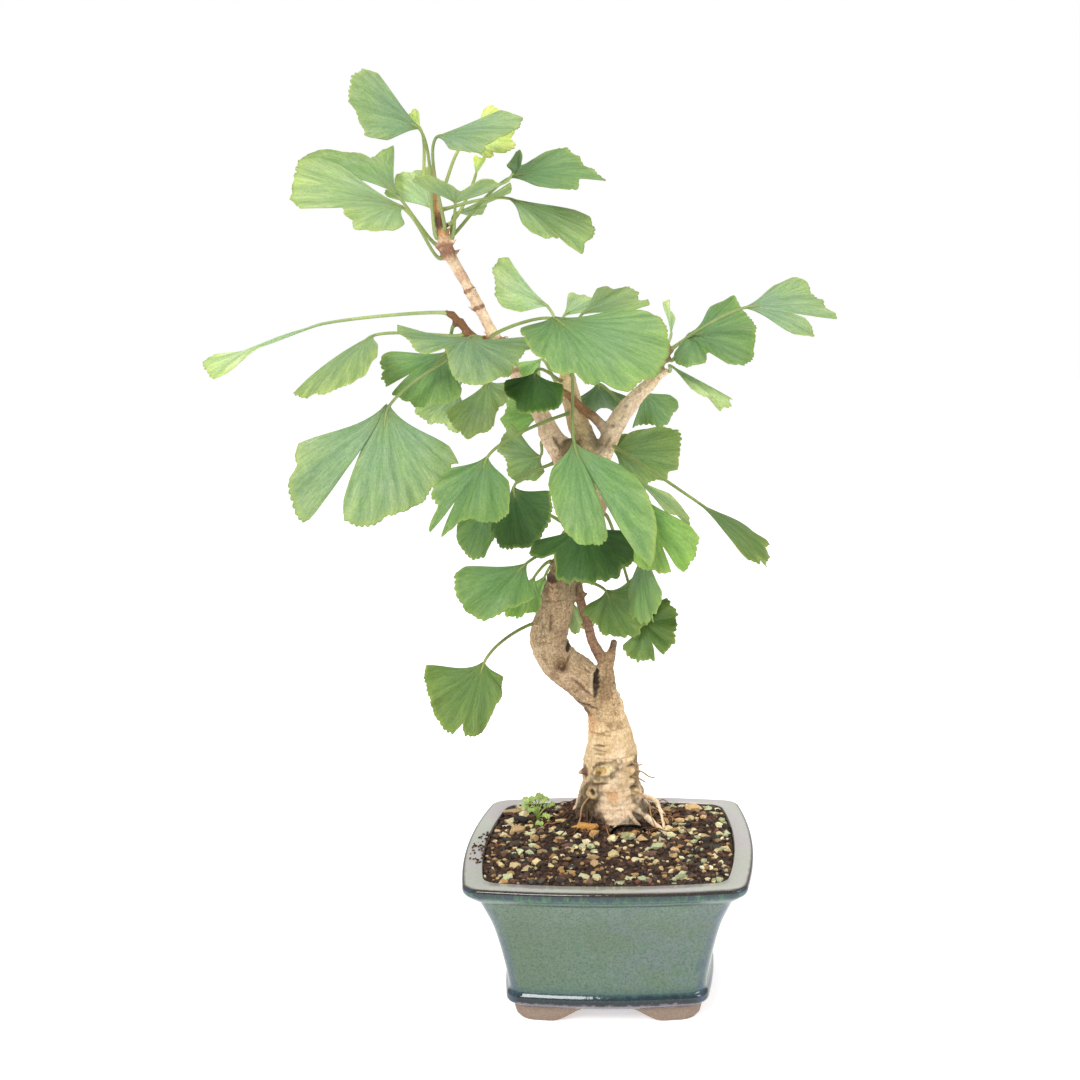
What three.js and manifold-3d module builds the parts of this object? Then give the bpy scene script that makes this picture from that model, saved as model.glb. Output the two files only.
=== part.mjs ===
// Ginkgo bonsai in a square glazed pot. Millimetres, +Z up.
// The plan of the tree and pot is laid out about the pot's centre on the ground (x right, y back),
// and the finished group is shifted so that its origin is the bottom centre of the whole plant's box.
import * as THREE from 'three';
import { mergeVertices } from 'three/addons/utils/BufferGeometryUtils.js';
import Module from 'manifold-3d';

const wasm = await Module();
wasm.setup();

// ---------------------------------------------------------------- driving dimensions

const GAP = 0.3;                      // clearance between pieces that touch
const POT = {
  cornerRadius: 10,
  footHalf: 51,
  footWall: 10,
  underside: 9,                       // height of the pot's underside above the ground
  floor: 15,                          // height of the inner floor
  archHeight: 8.4,
  archHalf: 28.5,
  drainRadius: 7,
};
const OUTER = [                       // [height, half width at mid-side, bow] up the glazed outside
  [9, 52, 3], [11.4, 54.4, 3.1], [14.8, 54.4, 3.1], [17, 52.8, 3], [28, 54.4, 3], [41, 57.2, 3.2],
  [53, 60.6, 3.6], [62, 64.6, 4], [69, 68, 4.5], [70, 70.4, 4.6], [74, 74.6, 4.8], [77.1, 75, 4.8],
  [78.5, 74, 4.8],
];
const INNER = [                       // the same, down the inside from the rim's flat
  [78.5, 65.4, 4.2], [77.2, 64.4, 4.2], [62, 60, 3.8], [45, 53.8, 3.2], [28, 49.8, 3], [15, 46.5, 2.8],
];
const SOIL = { level: 76.8, mound: 3, moundReach: 30, roughness: 0.8, stones: 22, stoneSize: 2.9 };
const FOOT = { x: -1, y: 39, bottom: 44, lean: 1 / 6, clearance: 0.4 };
const FLARE = [                       // [height, radius, strength of the root lobes] of the trunk's foot
  [44, 12, 0], [58, 16, 0.4], [74.4, 19, 1], [80.4, 18.4, 1], [85, 17.4, 0.6], [91, 16.6, 0.3],
  [100, 15.2, 0.1],
];
const LOBES = [                       // root lobes: [direction in degrees, share of radius, width in degrees]
  [-80, 0.1, 26], [-150, 0.46, 18], [165, 0.36, 20], [-28, 0.5, 16], [20, 0.4, 18], [95, 0.3, 30],
];
const WIRE = { from: [0, 14, 71], top: [9, 12, 82.4], to: [19, 14, 71], radius: 0.8 };
const WEED = { x: -41, y: 33, depth: 6, radius: 0.7, stems: 4, height: 12, reach: 5 };
const MESH = { side: 30, thick: 1, hole: 5, pitch: 7.5, count: 3 };
const LEAF = {
  thick: 0.7,
  stalkRadius: 0.85,
  stalkTip: 0.5,                      // the stalk's radius where it ends in the blade
  stalkBow: 0.35,                     // how strongly a stalk bows, as a share of its span, and at most
  stalkBowMost: 12,
  budLength: 1.8,                     // how far a bud stands out of its limb, and its radius at root and tip
  budRoot: 2.1,
  budTip: 1.05,
  columns: 8,                         // strips across the fan, and two fewer on a short blade
  rows: 2,                            // bands from base to tip, and one more on a long blade
  shortBlade: 28,
  longBlade: 38,
  start: 0.1,                         // where the blade begins and the stalk ends, as shares of its length
  stalkEnd: 0.17,
  waist: 0.5,
};

// Wood: each limb is a list of [x, y, z, radius], swept as one smooth tube.
const LIMBS = {
  trunk: { sides: 10, steps: 8, path: [
    [-1, 36, 96, 15.4], [-1, 35, 103, 15.5], [-1, 33, 115, 14.4], [-1, 31, 127, 12], [-3, 29, 139, 10.2],
    [-5, 27, 150, 9], [-4, 26, 158, 6.4], [-3, 26, 166, 4.4], [-1, 27, 173, 3.5], [0, 28, 177, 2.4],
    [1, 28, 180, 1.9]] },
  lower: { sides: 9, steps: 14, path: [
    [-5, 28, 142, 8], [-10, 27, 153, 10.4], [-18, 26, 161, 10.6], [-25, 25, 167, 10.2], [-31, 24, 174, 9.9],
    [-33, 23, 182, 10], [-31, 22, 192, 9.8], [-28, 20, 202, 8.9], [-26, 18, 211, 7.9], [-24, 16, 220, 6.8],
    [-20, 14, 234, 6.8], [-13, 12, 246, 7], [-8, 10, 258, 7.5], [-9, 9, 267, 8], [-9, 9, 274, 6]] },
  left: { sides: 7, steps: 15, path: [
    [-9, 9, 262, 6.4], [-17, 8, 273, 7], [-23, 7, 282, 6.6], [-29, 6, 291, 5.8], [-34, 5, 302, 4.2],
    [-41, 4, 312, 3.1], [-47, 3, 324, 2.8], [-52, 2, 337, 2.8], [-57, 2, 347, 2.6], [-62, 1, 357, 2.8],
    [-68, 0, 368, 2.7], [-75, 0, 378, 2.8], [-79, -1, 384, 3.2], [-81, -1, 390, 2.5]] },
  apex: { sides: 6, steps: 4, path: [
    [-80, -1, 387, 2.6], [-82, -1, 396, 2.3], [-84, -1, 411, 2], [-86, 0, 424, 1.7]] },
  middle: { sides: 8, steps: 6, path: [
    [-9, 9, 265, 6], [-9, 11, 281, 6], [-15, 13, 295, 5.6], [-19, 15, 309, 4.8], [-21, 16, 319, 4.4],
    [-22, 17, 327, 3.2]] },
  right: { sides: 8, steps: 7, path: [
    [-8, 9, 266, 5.6], [-2, 10, 284, 4.9], [4, 11, 297, 5], [12, 11, 308, 4.2], [19, 11, 315, 3.7],
    [25, 11, 321, 2.8], [28, 11, 323, 2]] },
  thin: { sides: 6, steps: 6, path: [
    [-4, 26, 168, 3], [-7, 26, 174, 3], [-11, 24, 182, 2.8], [-14, 22, 193, 2.6], [-16, 21, 204, 2.5],
    [-17, 21, 214, 2.2]] },
  twig: { sides: 5, steps: 4, path: [
    [0, 11, 291, 3], [-6, 9, 299, 2.7], [-13, 6, 305, 2.2], [-20, 2, 312, 2], [-27, -1, 316, 1.6]] },
  spur: { sides: 5, steps: 4, path: [
    [-55, 2, 340, 1.8], [-64, -1, 340, 2], [-71, -4, 346, 1.8], [-76, -6, 352, 1.7]] },
  side: { sides: 5, steps: 3, path: [
    [22, 11, 319, 2.2], [27, 9, 327, 1.9], [31, 7, 334, 1.7]] },
  knob: { sides: 7, steps: 2, path: [[-25, 17, 217, 3], [-24.5, 12, 221, 3.8], [-24, 8, 224, 3.4]] },
  boss: { sides: 7, steps: 2, path: [[-24, 9, 279, 4.5], [-20, 3, 284, 5], [-18, 0, 287, 4]] },
};

// Leaves. Each has the limb and the place along it (0 to 1) that its stalk springs from, the blade's base
// and tip, its roll about that line (0 faces the front, 90 lies flat), the fan's spread to either side, and
// any cleft as [direction in degrees, share of the length, half width in degrees].
const LEAVES = {
  apex_1: { on: ['left', 0.97], out: [-1, -0.6, 1.4], base: [-88, -11, 441], tip: [-120, -34, 453], roll: 25,
    spread: [32, 34], bend: 14 },
  apex_2: { on: ['apex', 0.22], out: [0.5, -1, 0.5], base: [-82, -16, 437], tip: [-42, -31, 434], roll: -60,
    spread: [46, 42], bend: 28 },
  apex_3: { on: ['apex', 0.66], out: [0.6, 0.6, 1], base: [-70, 6, 439], tip: [-45, 6, 442], roll: -20,
    spread: [62, 60], cleft: [[10, 0.3, 12]] },
  apex_4: { on: ['left', 0.88], out: [-1, -0.3, 0.2], base: [-96, -17, 404], tip: [-142, -44, 408], roll: 60,
    spread: [46, 68], reach: [1.12, 1.05], cleft: [[-8, 0.35, 10]], bend: 12 },
  apex_5: { on: ['left', 0.94], out: [-1, 0.3, 0.8], base: [-101, -5, 410], tip: [-134, 24, 429], roll: 50,
    spread: [50, 44], cup: 30 },
  apex_6: { on: ['left', 0.95], out: [-0.3, 1, 0.5], base: [-87, 9, 404], tip: [-105, 26, 422], roll: 22,
    spread: [34, 34] },
  apex_7: { on: ['left', 0.97], out: [0.9, -0.5, 0.3], base: [-73, -11, 406], tip: [-64, -46, 413],
    roll: -128, spread: [64, 58], cup: 40, cleft: [[0, 0.3, 16]] },
  apex_8: { on: ['apex', 0.3], out: [1, 0.3, 0.6], base: [-63, 6, 418], tip: [-63, 16, 430], roll: -10,
    spread: [26, 26] },
  apex_9: { on: ['left', 0.98], out: [1, -0.1, 0.9], base: [-48, -2, 419], tip: [-1, -5, 421], roll: -62,
    spread: [44, 80], reach: [1, 0.68], cleft: [[-58, 0.45, 12]] },
  apex_10: { on: ['apex', 0.5], out: [1, -0.4, 0.1], base: [-48, -11, 409], tip: [-7, -26, 386], roll: -68,
    spread: [44, 46] },
  apex_11: { on: ['left', 0.96], out: [0.5, 0.9, 0.5], base: [-76, 5, 402], tip: [-50, 22, 412], roll: 78,
    spread: [40, 40] },
  apex_12: { on: ['apex', 0.75], out: [-1, -0.4, 0.6], base: [-90, -4, 442], tip: [-95, -6, 450], roll: 30,
    spread: [34, 34] },
  left_1: { on: ['spur', 1], out: [-1, -0.2, 0.3], base: [-134, -18, 349], tip: [-191, -40, 326], roll: 88,
    spread: [16, 18], twist: -32, bend: 10, cup: 6 },
  left_2: { on: ['spur', 0.55], out: [-1, -0.5, 0], base: [-114, -12, 342], tip: [-144, -44, 314], roll: 70,
    spread: [46, 50], cup: -70, bend: 26 },
  left_3: { on: ['spur', 0.3], out: [-0.1, -1, 0.3], base: [-66, -20, 342], tip: [-70, -58, 321], roll: 4,
    spread: [66, 74], cleft: [[26, 0.35, 10]], bend: 30 },
  left_4: { on: ['spur', 0.85], out: [-0.4, 0.2, -1], base: [-80, 4, 334], tip: [-102, -14, 311], roll: 30,
    spread: [48, 56], cleft: [[12, 0.4, 5]], bend: 22 },
  left_5: { on: ['spur', 0.42], out: [-0.2, -1, -0.6], base: [-105, -30, 311], tip: [-114, -34, 253],
    roll: -8, spread: [56, 58], reach: [1.3, 0.85], cleft: [[24, 0.62, 7]], bend: 14 },
  left_6: { on: ['left', 0.5], out: [-0.5, 1, -0.4], base: [-62, 19, 315], tip: [-70, 22, 287], roll: 0,
    spread: [46, 46] },
  left_7: { on: ['left', 0.56], out: [-1, 1, -0.2], base: [-78, 24, 315], tip: [-91, 38, 293], roll: -15,
    spread: [46, 42] },
  mid_1: { on: ['middle', 0.5], out: [-0.5, -1, 0], base: [-56, -40, 286], tip: [-64, -52, 252], roll: 20,
    spread: [50, 52], reach: [1.4, 0.9], cleft: [[22, 0.45, 4]], bend: 20 },
  mid_2: { on: ['lower', 0.76], out: [-1, -0.1, 0.3], base: [-59, 4, 260], tip: [-61, -2, 230], roll: 10,
    spread: [38, 38] },
  mid_3: { on: ['left', 0.14], out: [-1, -0.7, -0.2], base: [-48, -4, 267], tip: [-39, -12, 238], roll: 20,
    spread: [60, 60] },
  mid_4: { on: ['left', 0.22], out: [-1, 0.7, -0.2], base: [-35, 20, 279], tip: [-58, 31, 278], roll: -15,
    spread: [52, 50], cup: 20 },
  mid_5: { on: ['left', 0.3], out: [-0.6, 1, 0.1], base: [-36, 25, 300], tip: [-57, 40, 296], roll: 15,
    spread: [40, 40] },
  mid_6: { on: ['middle', 0.78], out: [-0.6, -1, 0.3], base: [-32, -20, 328], tip: [-35, -42, 306], roll: 6,
    spread: [52, 46] },
  mid_7: { on: ['spur', 0.12], out: [0.3, -1, 0.5], base: [-25, -28, 352], tip: [9, -70, 317], roll: -46,
    spread: [50, 60], bend: 20, cup: 10 },
  mid_8: { on: ['middle', 0.97], out: [-0.2, -0.5, 1], base: [-28, -2, 356], tip: [-54, 20, 372], roll: -20,
    spread: [30, 30] },
  mid_9: { on: ['middle', 1], out: [0.1, 0.6, 1], base: [-24, 22, 351], tip: [-4, 46, 359], roll: -55,
    spread: [34, 34] },
  mid_10: { on: ['middle', 0.9], out: [0.9, 0, 0.8], base: [-14, 4, 352], tip: [17, 20, 361], roll: -66,
    spread: [44, 42], cup: 30 },
  mid_11: { on: ['right', 0.45], out: [-0.6, 1, 0.2], base: [-6, 28, 317], tip: [-5, 50, 300], roll: 0,
    spread: [46, 46] },
  mid_12: { on: ['middle', 0.86], out: [0.5, -1, 0], base: [-15, -40, 293], tip: [0, -62, 239], roll: -20,
    spread: [52, 38], reach: [0.58, 1.2], cleft: [[-11, 0.7, 4.5]], bend: 22 },
  mid_13: { on: ['right', 0.1], out: [0.9, -0.9, -0.3], base: [14, -26, 268], tip: [28, -40, 227], roll: 0,
    spread: [28, 36], cleft: [[-1, 0.3, 3]] },
  mid_14: { on: ['middle', 0.8], out: [-1, 0.3, -0.1], base: [-34, 16, 330], tip: [-45, 14, 318], roll: 20,
    spread: [40, 40] },
  right_1: { on: ['side', 0.7], out: [1, -0.2, 0.2], base: [43, 1, 344], tip: [74, -19, 332], roll: -50,
    spread: [78, 72], cleft: [[34, 0.5, 9], [-10, 0.15, 8]], bend: 24 },
  right_2: { on: ['side', 1], out: [0.8, -1, 0.6], base: [67, -22, 356], tip: [112, -26, 354], roll: -54,
    spread: [44, 44], cleft: [[12, 0.5, 6]] },
  right_3: { on: ['side', 1], out: [-0.2, 0.7, 1], base: [32, 14, 341], tip: [30, 22, 358], roll: 80,
    spread: [30, 30] },
  right_4: { on: ['right', 1], out: [1, -0.6, 0.2], base: [34, -4, 327], tip: [62, -16, 314], roll: -80,
    spread: [44, 44], ripple: 2.6 },
  right_5: { on: ['right', 0.72], out: [0.4, 1, -0.3], base: [17, 24, 314], tip: [26, 38, 294], roll: -10,
    spread: [48, 46] },
  right_6: { on: ['right', 0.16], out: [0.7, 1, 0], base: [6, 20, 282], tip: [36, 18, 281], roll: -15,
    spread: [54, 50] },
  right_7: { on: ['right', 0.06], out: [1, -0.4, -0.4], base: [13, -6, 271], tip: [44, -12, 249], roll: -76,
    spread: [40, 40] },
  right_8: { on: ['right', 0.2], out: [0.8, -1, -0.2], base: [45, -24, 261], tip: [80, -28, 231], roll: -82,
    spread: [42, 44] },
  low_1: { on: ['lower', 0.72], out: [0.7, -1, 0.5], base: [-12, -14, 250], tip: [-6, -35, 222], roll: -10,
    spread: [70, 64], cleft: [[42, 0.3, 12]], bend: 24 },
  low_2: { on: ['lower', 0.69], out: [-0.9, -0.9, 0.2], base: [-39, -24, 231], tip: [-61, -42, 209], roll: 30,
    spread: [46, 54], reach: [1, 0.8], cleft: [[-22, 0.25, 6]] },
  low_3: { on: ['lower', 0.66], out: [-1, -0.3, 0.2], base: [-38, 6, 219], tip: [-48, -10, 200], roll: 40,
    spread: [40, 40], cup: 40 },
  low_4: { on: ['lower', 0.66], out: [-0.5, 1, 0.3], base: [-35, 31, 215], tip: [-42, 37, 193], roll: 10,
    spread: [42, 42] },
  low_5: { on: ['lower', 0.6], out: [0.7, 1, 0], base: [-21, 33, 200], tip: [-19, 38, 182], roll: 0,
    spread: [44, 44] },
  low_6: { on: ['thin', 1], out: [1, -0.6, -0.1], base: [-2, 10, 211], tip: [12, 4, 190], roll: 20,
    spread: [84, 80], reach: [0.65, 1], bend: 24 },
  low_7: { on: ['lower', 0.93], out: [1, -0.6, -0.6], base: [18, -14, 238], tip: [21, -25, 200], roll: 68,
    spread: [48, 48] },
  low_8: { on: ['lower', 0.82], out: [1, 0.5, -0.2], base: [17, 8, 195], tip: [31, -3, 182], roll: 10,
    spread: [84, 84], cleft: [[18, 0.45, 9]], bend: 10 },
  low_9: { on: ['lower', 0.43], out: [-1, -0.6, -0.35], base: [-62, -20, 180], tip: [-76, -28, 142],
    roll: -25, spread: [66, 62], reach: [0.92, 0.58], cleft: [[0, 0.2, 4]], bend: 24 },
};

const COLOURS = {
  glaze: 0x6f8c80, soil: 0x4a3528, bark: 0xb59a78, leaf: 0x6fa56b, weed: 0x9bbf4a, wire: 0x1c1c1e,
  mesh: 0x2b2d2b,
};

// ---------------------------------------------------------------- solids

const RADIANS = Math.PI / 180;

function vector(point) {
  return new THREE.Vector3(point[0], point[1], point[2]);
}

// Seeded draws, so the plant grows alike each time.
function seededDraw(seed) {
  let state = seed;
  return () => {
    state = (Math.imul(state, 1664525) + 1013904223) >>> 0;
    return state / 4294967296;
  };
}

function geometryFrom(points, triangles) {
  const geometry = new THREE.BufferGeometry();
  const flat = points.flatMap((point) => [point.x, point.y, point.z]);
  geometry.setAttribute('position', new THREE.Float32BufferAttribute(flat, 3));
  geometry.setIndex(triangles);
  return geometry;
}

function toSolid(geometry) {
  const bare = geometry.clone();
  bare.deleteAttribute('normal');
  bare.deleteAttribute('uv');
  const merged = mergeVertices(bare, 1e-4);
  const mesh = new wasm.Mesh({
    numProp: 3,
    vertProperties: new Float32Array(merged.attributes.position.array),
    triVerts: new Uint32Array(merged.index.array),
  });
  return new wasm.Manifold(mesh);
}

function toGeometry(solid) {
  const mesh = solid.getMesh();
  const geometry = new THREE.BufferGeometry();
  geometry.setAttribute('position', new THREE.BufferAttribute(new Float32Array(mesh.vertProperties), 3));
  geometry.setIndex(new THREE.BufferAttribute(new Uint32Array(mesh.triVerts), 1));
  return geometry;
}

function joinAll(solids) {
  return solids.reduce((whole, solid) => whole.add(solid));
}

// Rings of points, each of the same count, skinned one to the next and closed by a fan at either end.
function loft(rings) {
  const count = rings[0].length;
  const points = rings.flat();
  const triangles = [];
  for (let ring = 0; ring + 1 < rings.length; ring += 1) {
    for (let i = 0; i < count; i += 1) {
      const a = ring * count + i;
      const b = ring * count + (i + 1) % count;
      triangles.push(a, b, b + count, a, b + count, a + count);
    }
  }
  const centreOf = (ring) => ring.reduce((sum, p) => sum.add(p), new THREE.Vector3()).divideScalar(count);
  const first = points.length;
  points.push(centreOf(rings[0]), centreOf(rings[rings.length - 1]));
  const lastRing = (rings.length - 1) * count;
  for (let i = 0; i < count; i += 1) {
    const next = (i + 1) % count;
    triangles.push(first, next, i);
    triangles.push(first + 1, lastRing + i, lastRing + next);
  }
  return geometryFrom(points, triangles);
}

// A tube along a smooth curve whose radius changes on the way.
function taperedTube(path, sides, steps) {
  const curve = new THREE.CatmullRomCurve3(path.map(vector), false, 'centripetal');
  const frames = curve.computeFrenetFrames(steps, false);
  const radiusAt = (t) => {
    const place = t * (path.length - 1);
    const low = Math.min(Math.floor(place), path.length - 2);
    return THREE.MathUtils.lerp(path[low][3], path[low + 1][3], place - low);
  };
  const rings = [];
  for (let step = 0; step <= steps; step += 1) {
    const centre = curve.getPointAt(step / steps);
    const radius = radiusAt(curve.getUtoTmapping(step / steps));
    const ring = [];
    for (let i = 0; i < sides; i += 1) {
      const angle = (i / sides) * 2 * Math.PI;
      const out = frames.normals[step].clone().multiplyScalar(Math.cos(angle) * radius);
      out.addScaledVector(frames.binormals[step], Math.sin(angle) * radius);
      ring.push(centre.clone().add(out));
    }
    rings.push(ring);
  }
  return loft(rings);
}

// ---------------------------------------------------------------- pot

// A square with swelling sides and round corners, as a ring of points at one height.
function bowedSquare(half, bow, height, shrink = 0) {
  const corner = half - bow - shrink;
  const radius = Math.max(POT.cornerRadius - shrink, 2);
  const sideSteps = 3;
  const cornerSteps = 3;
  const ring = [];
  for (let side = 0; side < 4; side += 1) {
    const turn = (side * Math.PI) / 2;
    const add = (x, y) => ring.push(new THREE.Vector3(
      x * Math.cos(turn) - y * Math.sin(turn), x * Math.sin(turn) + y * Math.cos(turn), height));
    const straight = corner - radius;
    for (let i = 0; i <= sideSteps; i += 1) {
      const along = (2 * i) / sideSteps - 1;
      add(corner + bow * (1 - along * along), along * straight);
    }
    for (let i = 1; i < cornerSteps; i += 1) {
      const angle = (i / cornerSteps) * (Math.PI / 2);
      add(straight + radius * Math.cos(angle), straight + radius * Math.sin(angle));
    }
  }
  return ring;
}

// The foot's arch, a flat ogee between two corner feet, as a prism across the whole foot.
function archPrism() {
  const { archHalf, archHeight, footHalf } = POT;
  const outline = new THREE.Shape();
  outline.moveTo(-archHalf, -1);
  outline.lineTo(-archHalf, 0.01);
  const [rise, shoulder, top] = [0.7 * archHalf, 0.6 * archHalf, 0.28 * archHalf];
  outline.bezierCurveTo(-rise, archHeight * 0.3, -shoulder, archHeight, -top, archHeight);
  outline.lineTo(top, archHeight);
  outline.bezierCurveTo(shoulder, archHeight, rise, archHeight * 0.3, archHalf, 0.01);
  outline.lineTo(archHalf, -1);
  outline.closePath();
  const length = 4 * footHalf;
  const prism = new THREE.ExtrudeGeometry(outline, { depth: length, bevelEnabled: false, curveSegments: 5 });
  prism.translate(0, 0, -length / 2);
  prism.rotateX(Math.PI / 2);
  return prism;
}

function makePot() {
  const shell = [...OUTER, ...INNER].map(([height, half, bow]) => bowedSquare(half, bow, height));
  const body = toSolid(loft(shell));
  const foot = toSolid(loft([
    bowedSquare(POT.footHalf - 3, 2.4, 0), bowedSquare(POT.footHalf - 1, 2.6, 1.5),
    bowedSquare(POT.footHalf, 2.8, POT.underside + 1),
  ]));
  const recess = toSolid(loft([
    bowedSquare(POT.footHalf - POT.footWall, 2.4, -1),
    bowedSquare(POT.footHalf - POT.footWall, 2.4, POT.underside),
  ]));
  const arch = toSolid(archPrism());
  const crossArch = toSolid(archPrism().rotateZ(Math.PI / 2));
  const drain = new THREE.CylinderGeometry(POT.drainRadius, POT.drainRadius, 4 * POT.floor, 16);
  drain.rotateX(Math.PI / 2);
  const skirt = foot.subtract(recess).subtract(arch).subtract(crossArch);
  return toGeometry(body.add(skirt).subtract(toSolid(drain)));
}

// ---------------------------------------------------------------- soil

// The trunk's foot with its root lobes, at any clearance: the tree has none and the hole in the soil has one.
function trunkFoot(clearance, levels) {
  const sides = 18;
  const rings = levels.map(([height, radius, lobing]) => {
    const middle = FOOT.y - FOOT.lean * Math.max(0, height - SOIL.level);
    const ring = [];
    for (let i = 0; i < sides; i += 1) {
      const degrees = (i / sides) * 360;
      const swell = LOBES.reduce((sum, [towards, share, width]) => {
        const turn = ((degrees - towards + 540) % 360) - 180;
        return sum + share * Math.exp(-((turn / width) ** 2));
      }, 1 - 0.1 * lobing);
      const reach = radius * THREE.MathUtils.lerp(1, swell, lobing) + clearance;
      ring.push(new THREE.Vector3(
        FOOT.x + reach * Math.cos(degrees * RADIANS), middle + reach * Math.sin(degrees * RADIANS), height));
    }
    return ring;
  });
  return loft(rings);
}

function soilHeight(x, y) {
  const fromTrunk = Math.hypot(x - FOOT.x, y - FOOT.y);
  const mound = SOIL.mound * Math.exp(-((fromTrunk / SOIL.moundReach) ** 2));
  const crumb = Math.sin(x * 0.9 + y * 0.35) + Math.sin(y * 0.83 - x * 0.41 + 1.3)
    + Math.sin(x * 0.5 + y * 1.1 + 4);
  return SOIL.level + mound + (SOIL.roughness * crumb) / 2;
}

function makeStone(draw) {
  const reach = 57;
  const x = (2 * draw() - 1) * reach;
  const y = (2 * draw() - 1) * reach;
  const size = SOIL.stoneSize * (0.7 + 0.7 * draw());
  const stone = new THREE.IcosahedronGeometry(size, 0);
  stone.scale(1, 0.75 + 0.25 * draw(), 0.6);
  stone.rotateZ(draw() * 2 * Math.PI);
  stone.translate(x, y, soilHeight(x, y) + 0.15 * size);
  return { x, y, size, stone };
}

// The pot's inner wall at any height, as a ring that keeps clear of it.
function insideRing(height) {
  const upper = INNER.findLastIndex((level) => level[0] >= height);
  const [high, low] = [INNER[upper], INNER[Math.min(upper + 1, INNER.length - 1)]];
  const share = high === low ? 0 : (high[0] - height) / (high[0] - low[0]);
  const half = THREE.MathUtils.lerp(high[1], low[1], share);
  const bow = THREE.MathUtils.lerp(high[2], low[2], share);
  return bowedSquare(half, bow, height, GAP + 0.1);
}

function makeSoil() {
  const rings = [POT.floor + GAP, 28, 45, 60, SOIL.level - 1].map(insideRing);
  const top = rings[rings.length - 1];
  const ringCount = 6;
  for (let ring = 1; ring < ringCount; ring += 1) {
    const share = ring === 1 ? 0.97 : 1 - ring / ringCount;
    rings.push(top.map((edge) => {
      const [x, y] = [share * edge.x, share * edge.y];
      return new THREE.Vector3(x, y, soilHeight(x, y));
    }));
  }
  let soil = toSolid(loft(rings));
  const draw = seededDraw(7);
  let placed = 0;
  while (placed < SOIL.stones) {
    const { x, y, size, stone } = makeStone(draw);
    const clearOfTrunk = Math.hypot(x - FOOT.x, y - FOOT.y) > 29;
    const clearOfWeed = Math.hypot(x - WEED.x, y - WEED.y) > 6;
    const clearOfWire = Math.hypot(x - WIRE.top[0], y - WIRE.top[1]) > 13;
    if (clearOfTrunk && clearOfWeed && clearOfWire && Math.max(Math.abs(x), Math.abs(y)) < 57 - size) {
      soil = soil.add(toSolid(stone));
      placed += 1;
    }
  }
  const holes = [toSolid(trunkFoot(FOOT.clearance, [
    [FOOT.bottom - 1, FLARE[0][1], 0], ...FLARE.slice(1)]))];
  for (const [x, y, radius, depth] of [
    [WEED.x, WEED.y, WEED.radius + 0.5, WEED.depth],
    [WIRE.from[0], WIRE.from[1], WIRE.radius + 0.4, SOIL.level - WIRE.from[2] + 1],
    [WIRE.to[0], WIRE.to[1], WIRE.radius + 0.4, SOIL.level - WIRE.to[2] + 1],
  ]) {
    const hole = new THREE.CylinderGeometry(radius, radius, depth + 12, 10);
    hole.rotateX(Math.PI / 2);
    hole.translate(x, y, SOIL.level - depth / 2 + 6);
    holes.push(toSolid(hole));
  }
  const pocket = new THREE.BoxGeometry(MESH.side + 1, MESH.side + 1, 2 * (MESH.thick + 2 * GAP));
  pocket.translate(0, 0, POT.floor);
  holes.push(toSolid(pocket));
  return toGeometry(holes.reduce((rest, hole) => rest.subtract(hole), soil));
}

// ---------------------------------------------------------------- wood

const limbCurves = Object.fromEntries(Object.entries(LIMBS).map(([name, limb]) => [
  name, new THREE.CatmullRomCurve3(limb.path.map(vector), false, 'centripetal')]));

function limbRadius(name, place) {
  const { path } = LIMBS[name];
  const along = place * (path.length - 1);
  const low = Math.min(Math.floor(along), path.length - 2);
  return THREE.MathUtils.lerp(path[low][3], path[low + 1][3], along - low);
}

// Where a leaf's stalk starts: on the end of a bud that stands out of the limb towards the blade.
function stalkStart(leaf) {
  const [limb, place] = leaf.on;
  const heart = limbCurves[limb].getPoint(place);
  const along = limbCurves[limb].getTangent(place);
  const towards = vector(leaf.out).normalize();
  const lean = place < 1 ? -0.6 * towards.dot(along) : 0;
  const sideways = towards.clone().addScaledVector(along, lean).normalize();
  const start = heart.clone().addScaledVector(sideways, limbRadius(limb, place) + LEAF.budLength);
  return { heart, start, sideways };
}

function makeBud(leaf) {
  const { heart, start, sideways } = stalkStart(leaf);
  const end = start.clone().addScaledVector(sideways, -GAP);
  const path = [[...heart.toArray(), LEAF.budRoot], [...end.toArray(), LEAF.budTip]];
  return toSolid(taperedTube(path, 3, 1));
}

function makeTrunk() {
  const foot = toSolid(trunkFoot(0, FLARE));
  const limbs = Object.values(LIMBS).map((limb) => toSolid(taperedTube(limb.path, limb.sides, limb.steps)));
  const buds = Object.values(LEAVES).map(makeBud);
  return toGeometry(joinAll([foot, ...limbs, ...buds]));
}

// ---------------------------------------------------------------- leaves

// The fan's radius in one direction, as a share of the leaf's length: round corners, waves and clefts.
function fanRadius(direction, leaf) {
  const spread = direction < 0 ? leaf.spread[1] : leaf.spread[0];
  const share = Math.abs(direction) / spread;
  const phase = leaf.seed;
  const waves = 0.022 * Math.sin(direction * 0.31 + phase) + 0.018 * Math.sin(direction * 0.63 + 2.1 * phase);
  const corner = 1 - 0.05 * share ** 2 - 0.2 * share ** 10;
  const cleft = (leaf.cleft ?? []).reduce((rest, [at, depth, halfWidth]) => {
    const near = Math.max(0, 1 - Math.abs(direction - at) / halfWidth);
    return rest * (1 - depth * near);
  }, 1);
  const [right, left] = leaf.reach;
  const lobe = THREE.MathUtils.lerp(1, direction < 0 ? left : right, Math.min(1, 1.4 * share));
  return corner * (1 + waves) * cleft * lobe;
}

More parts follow.
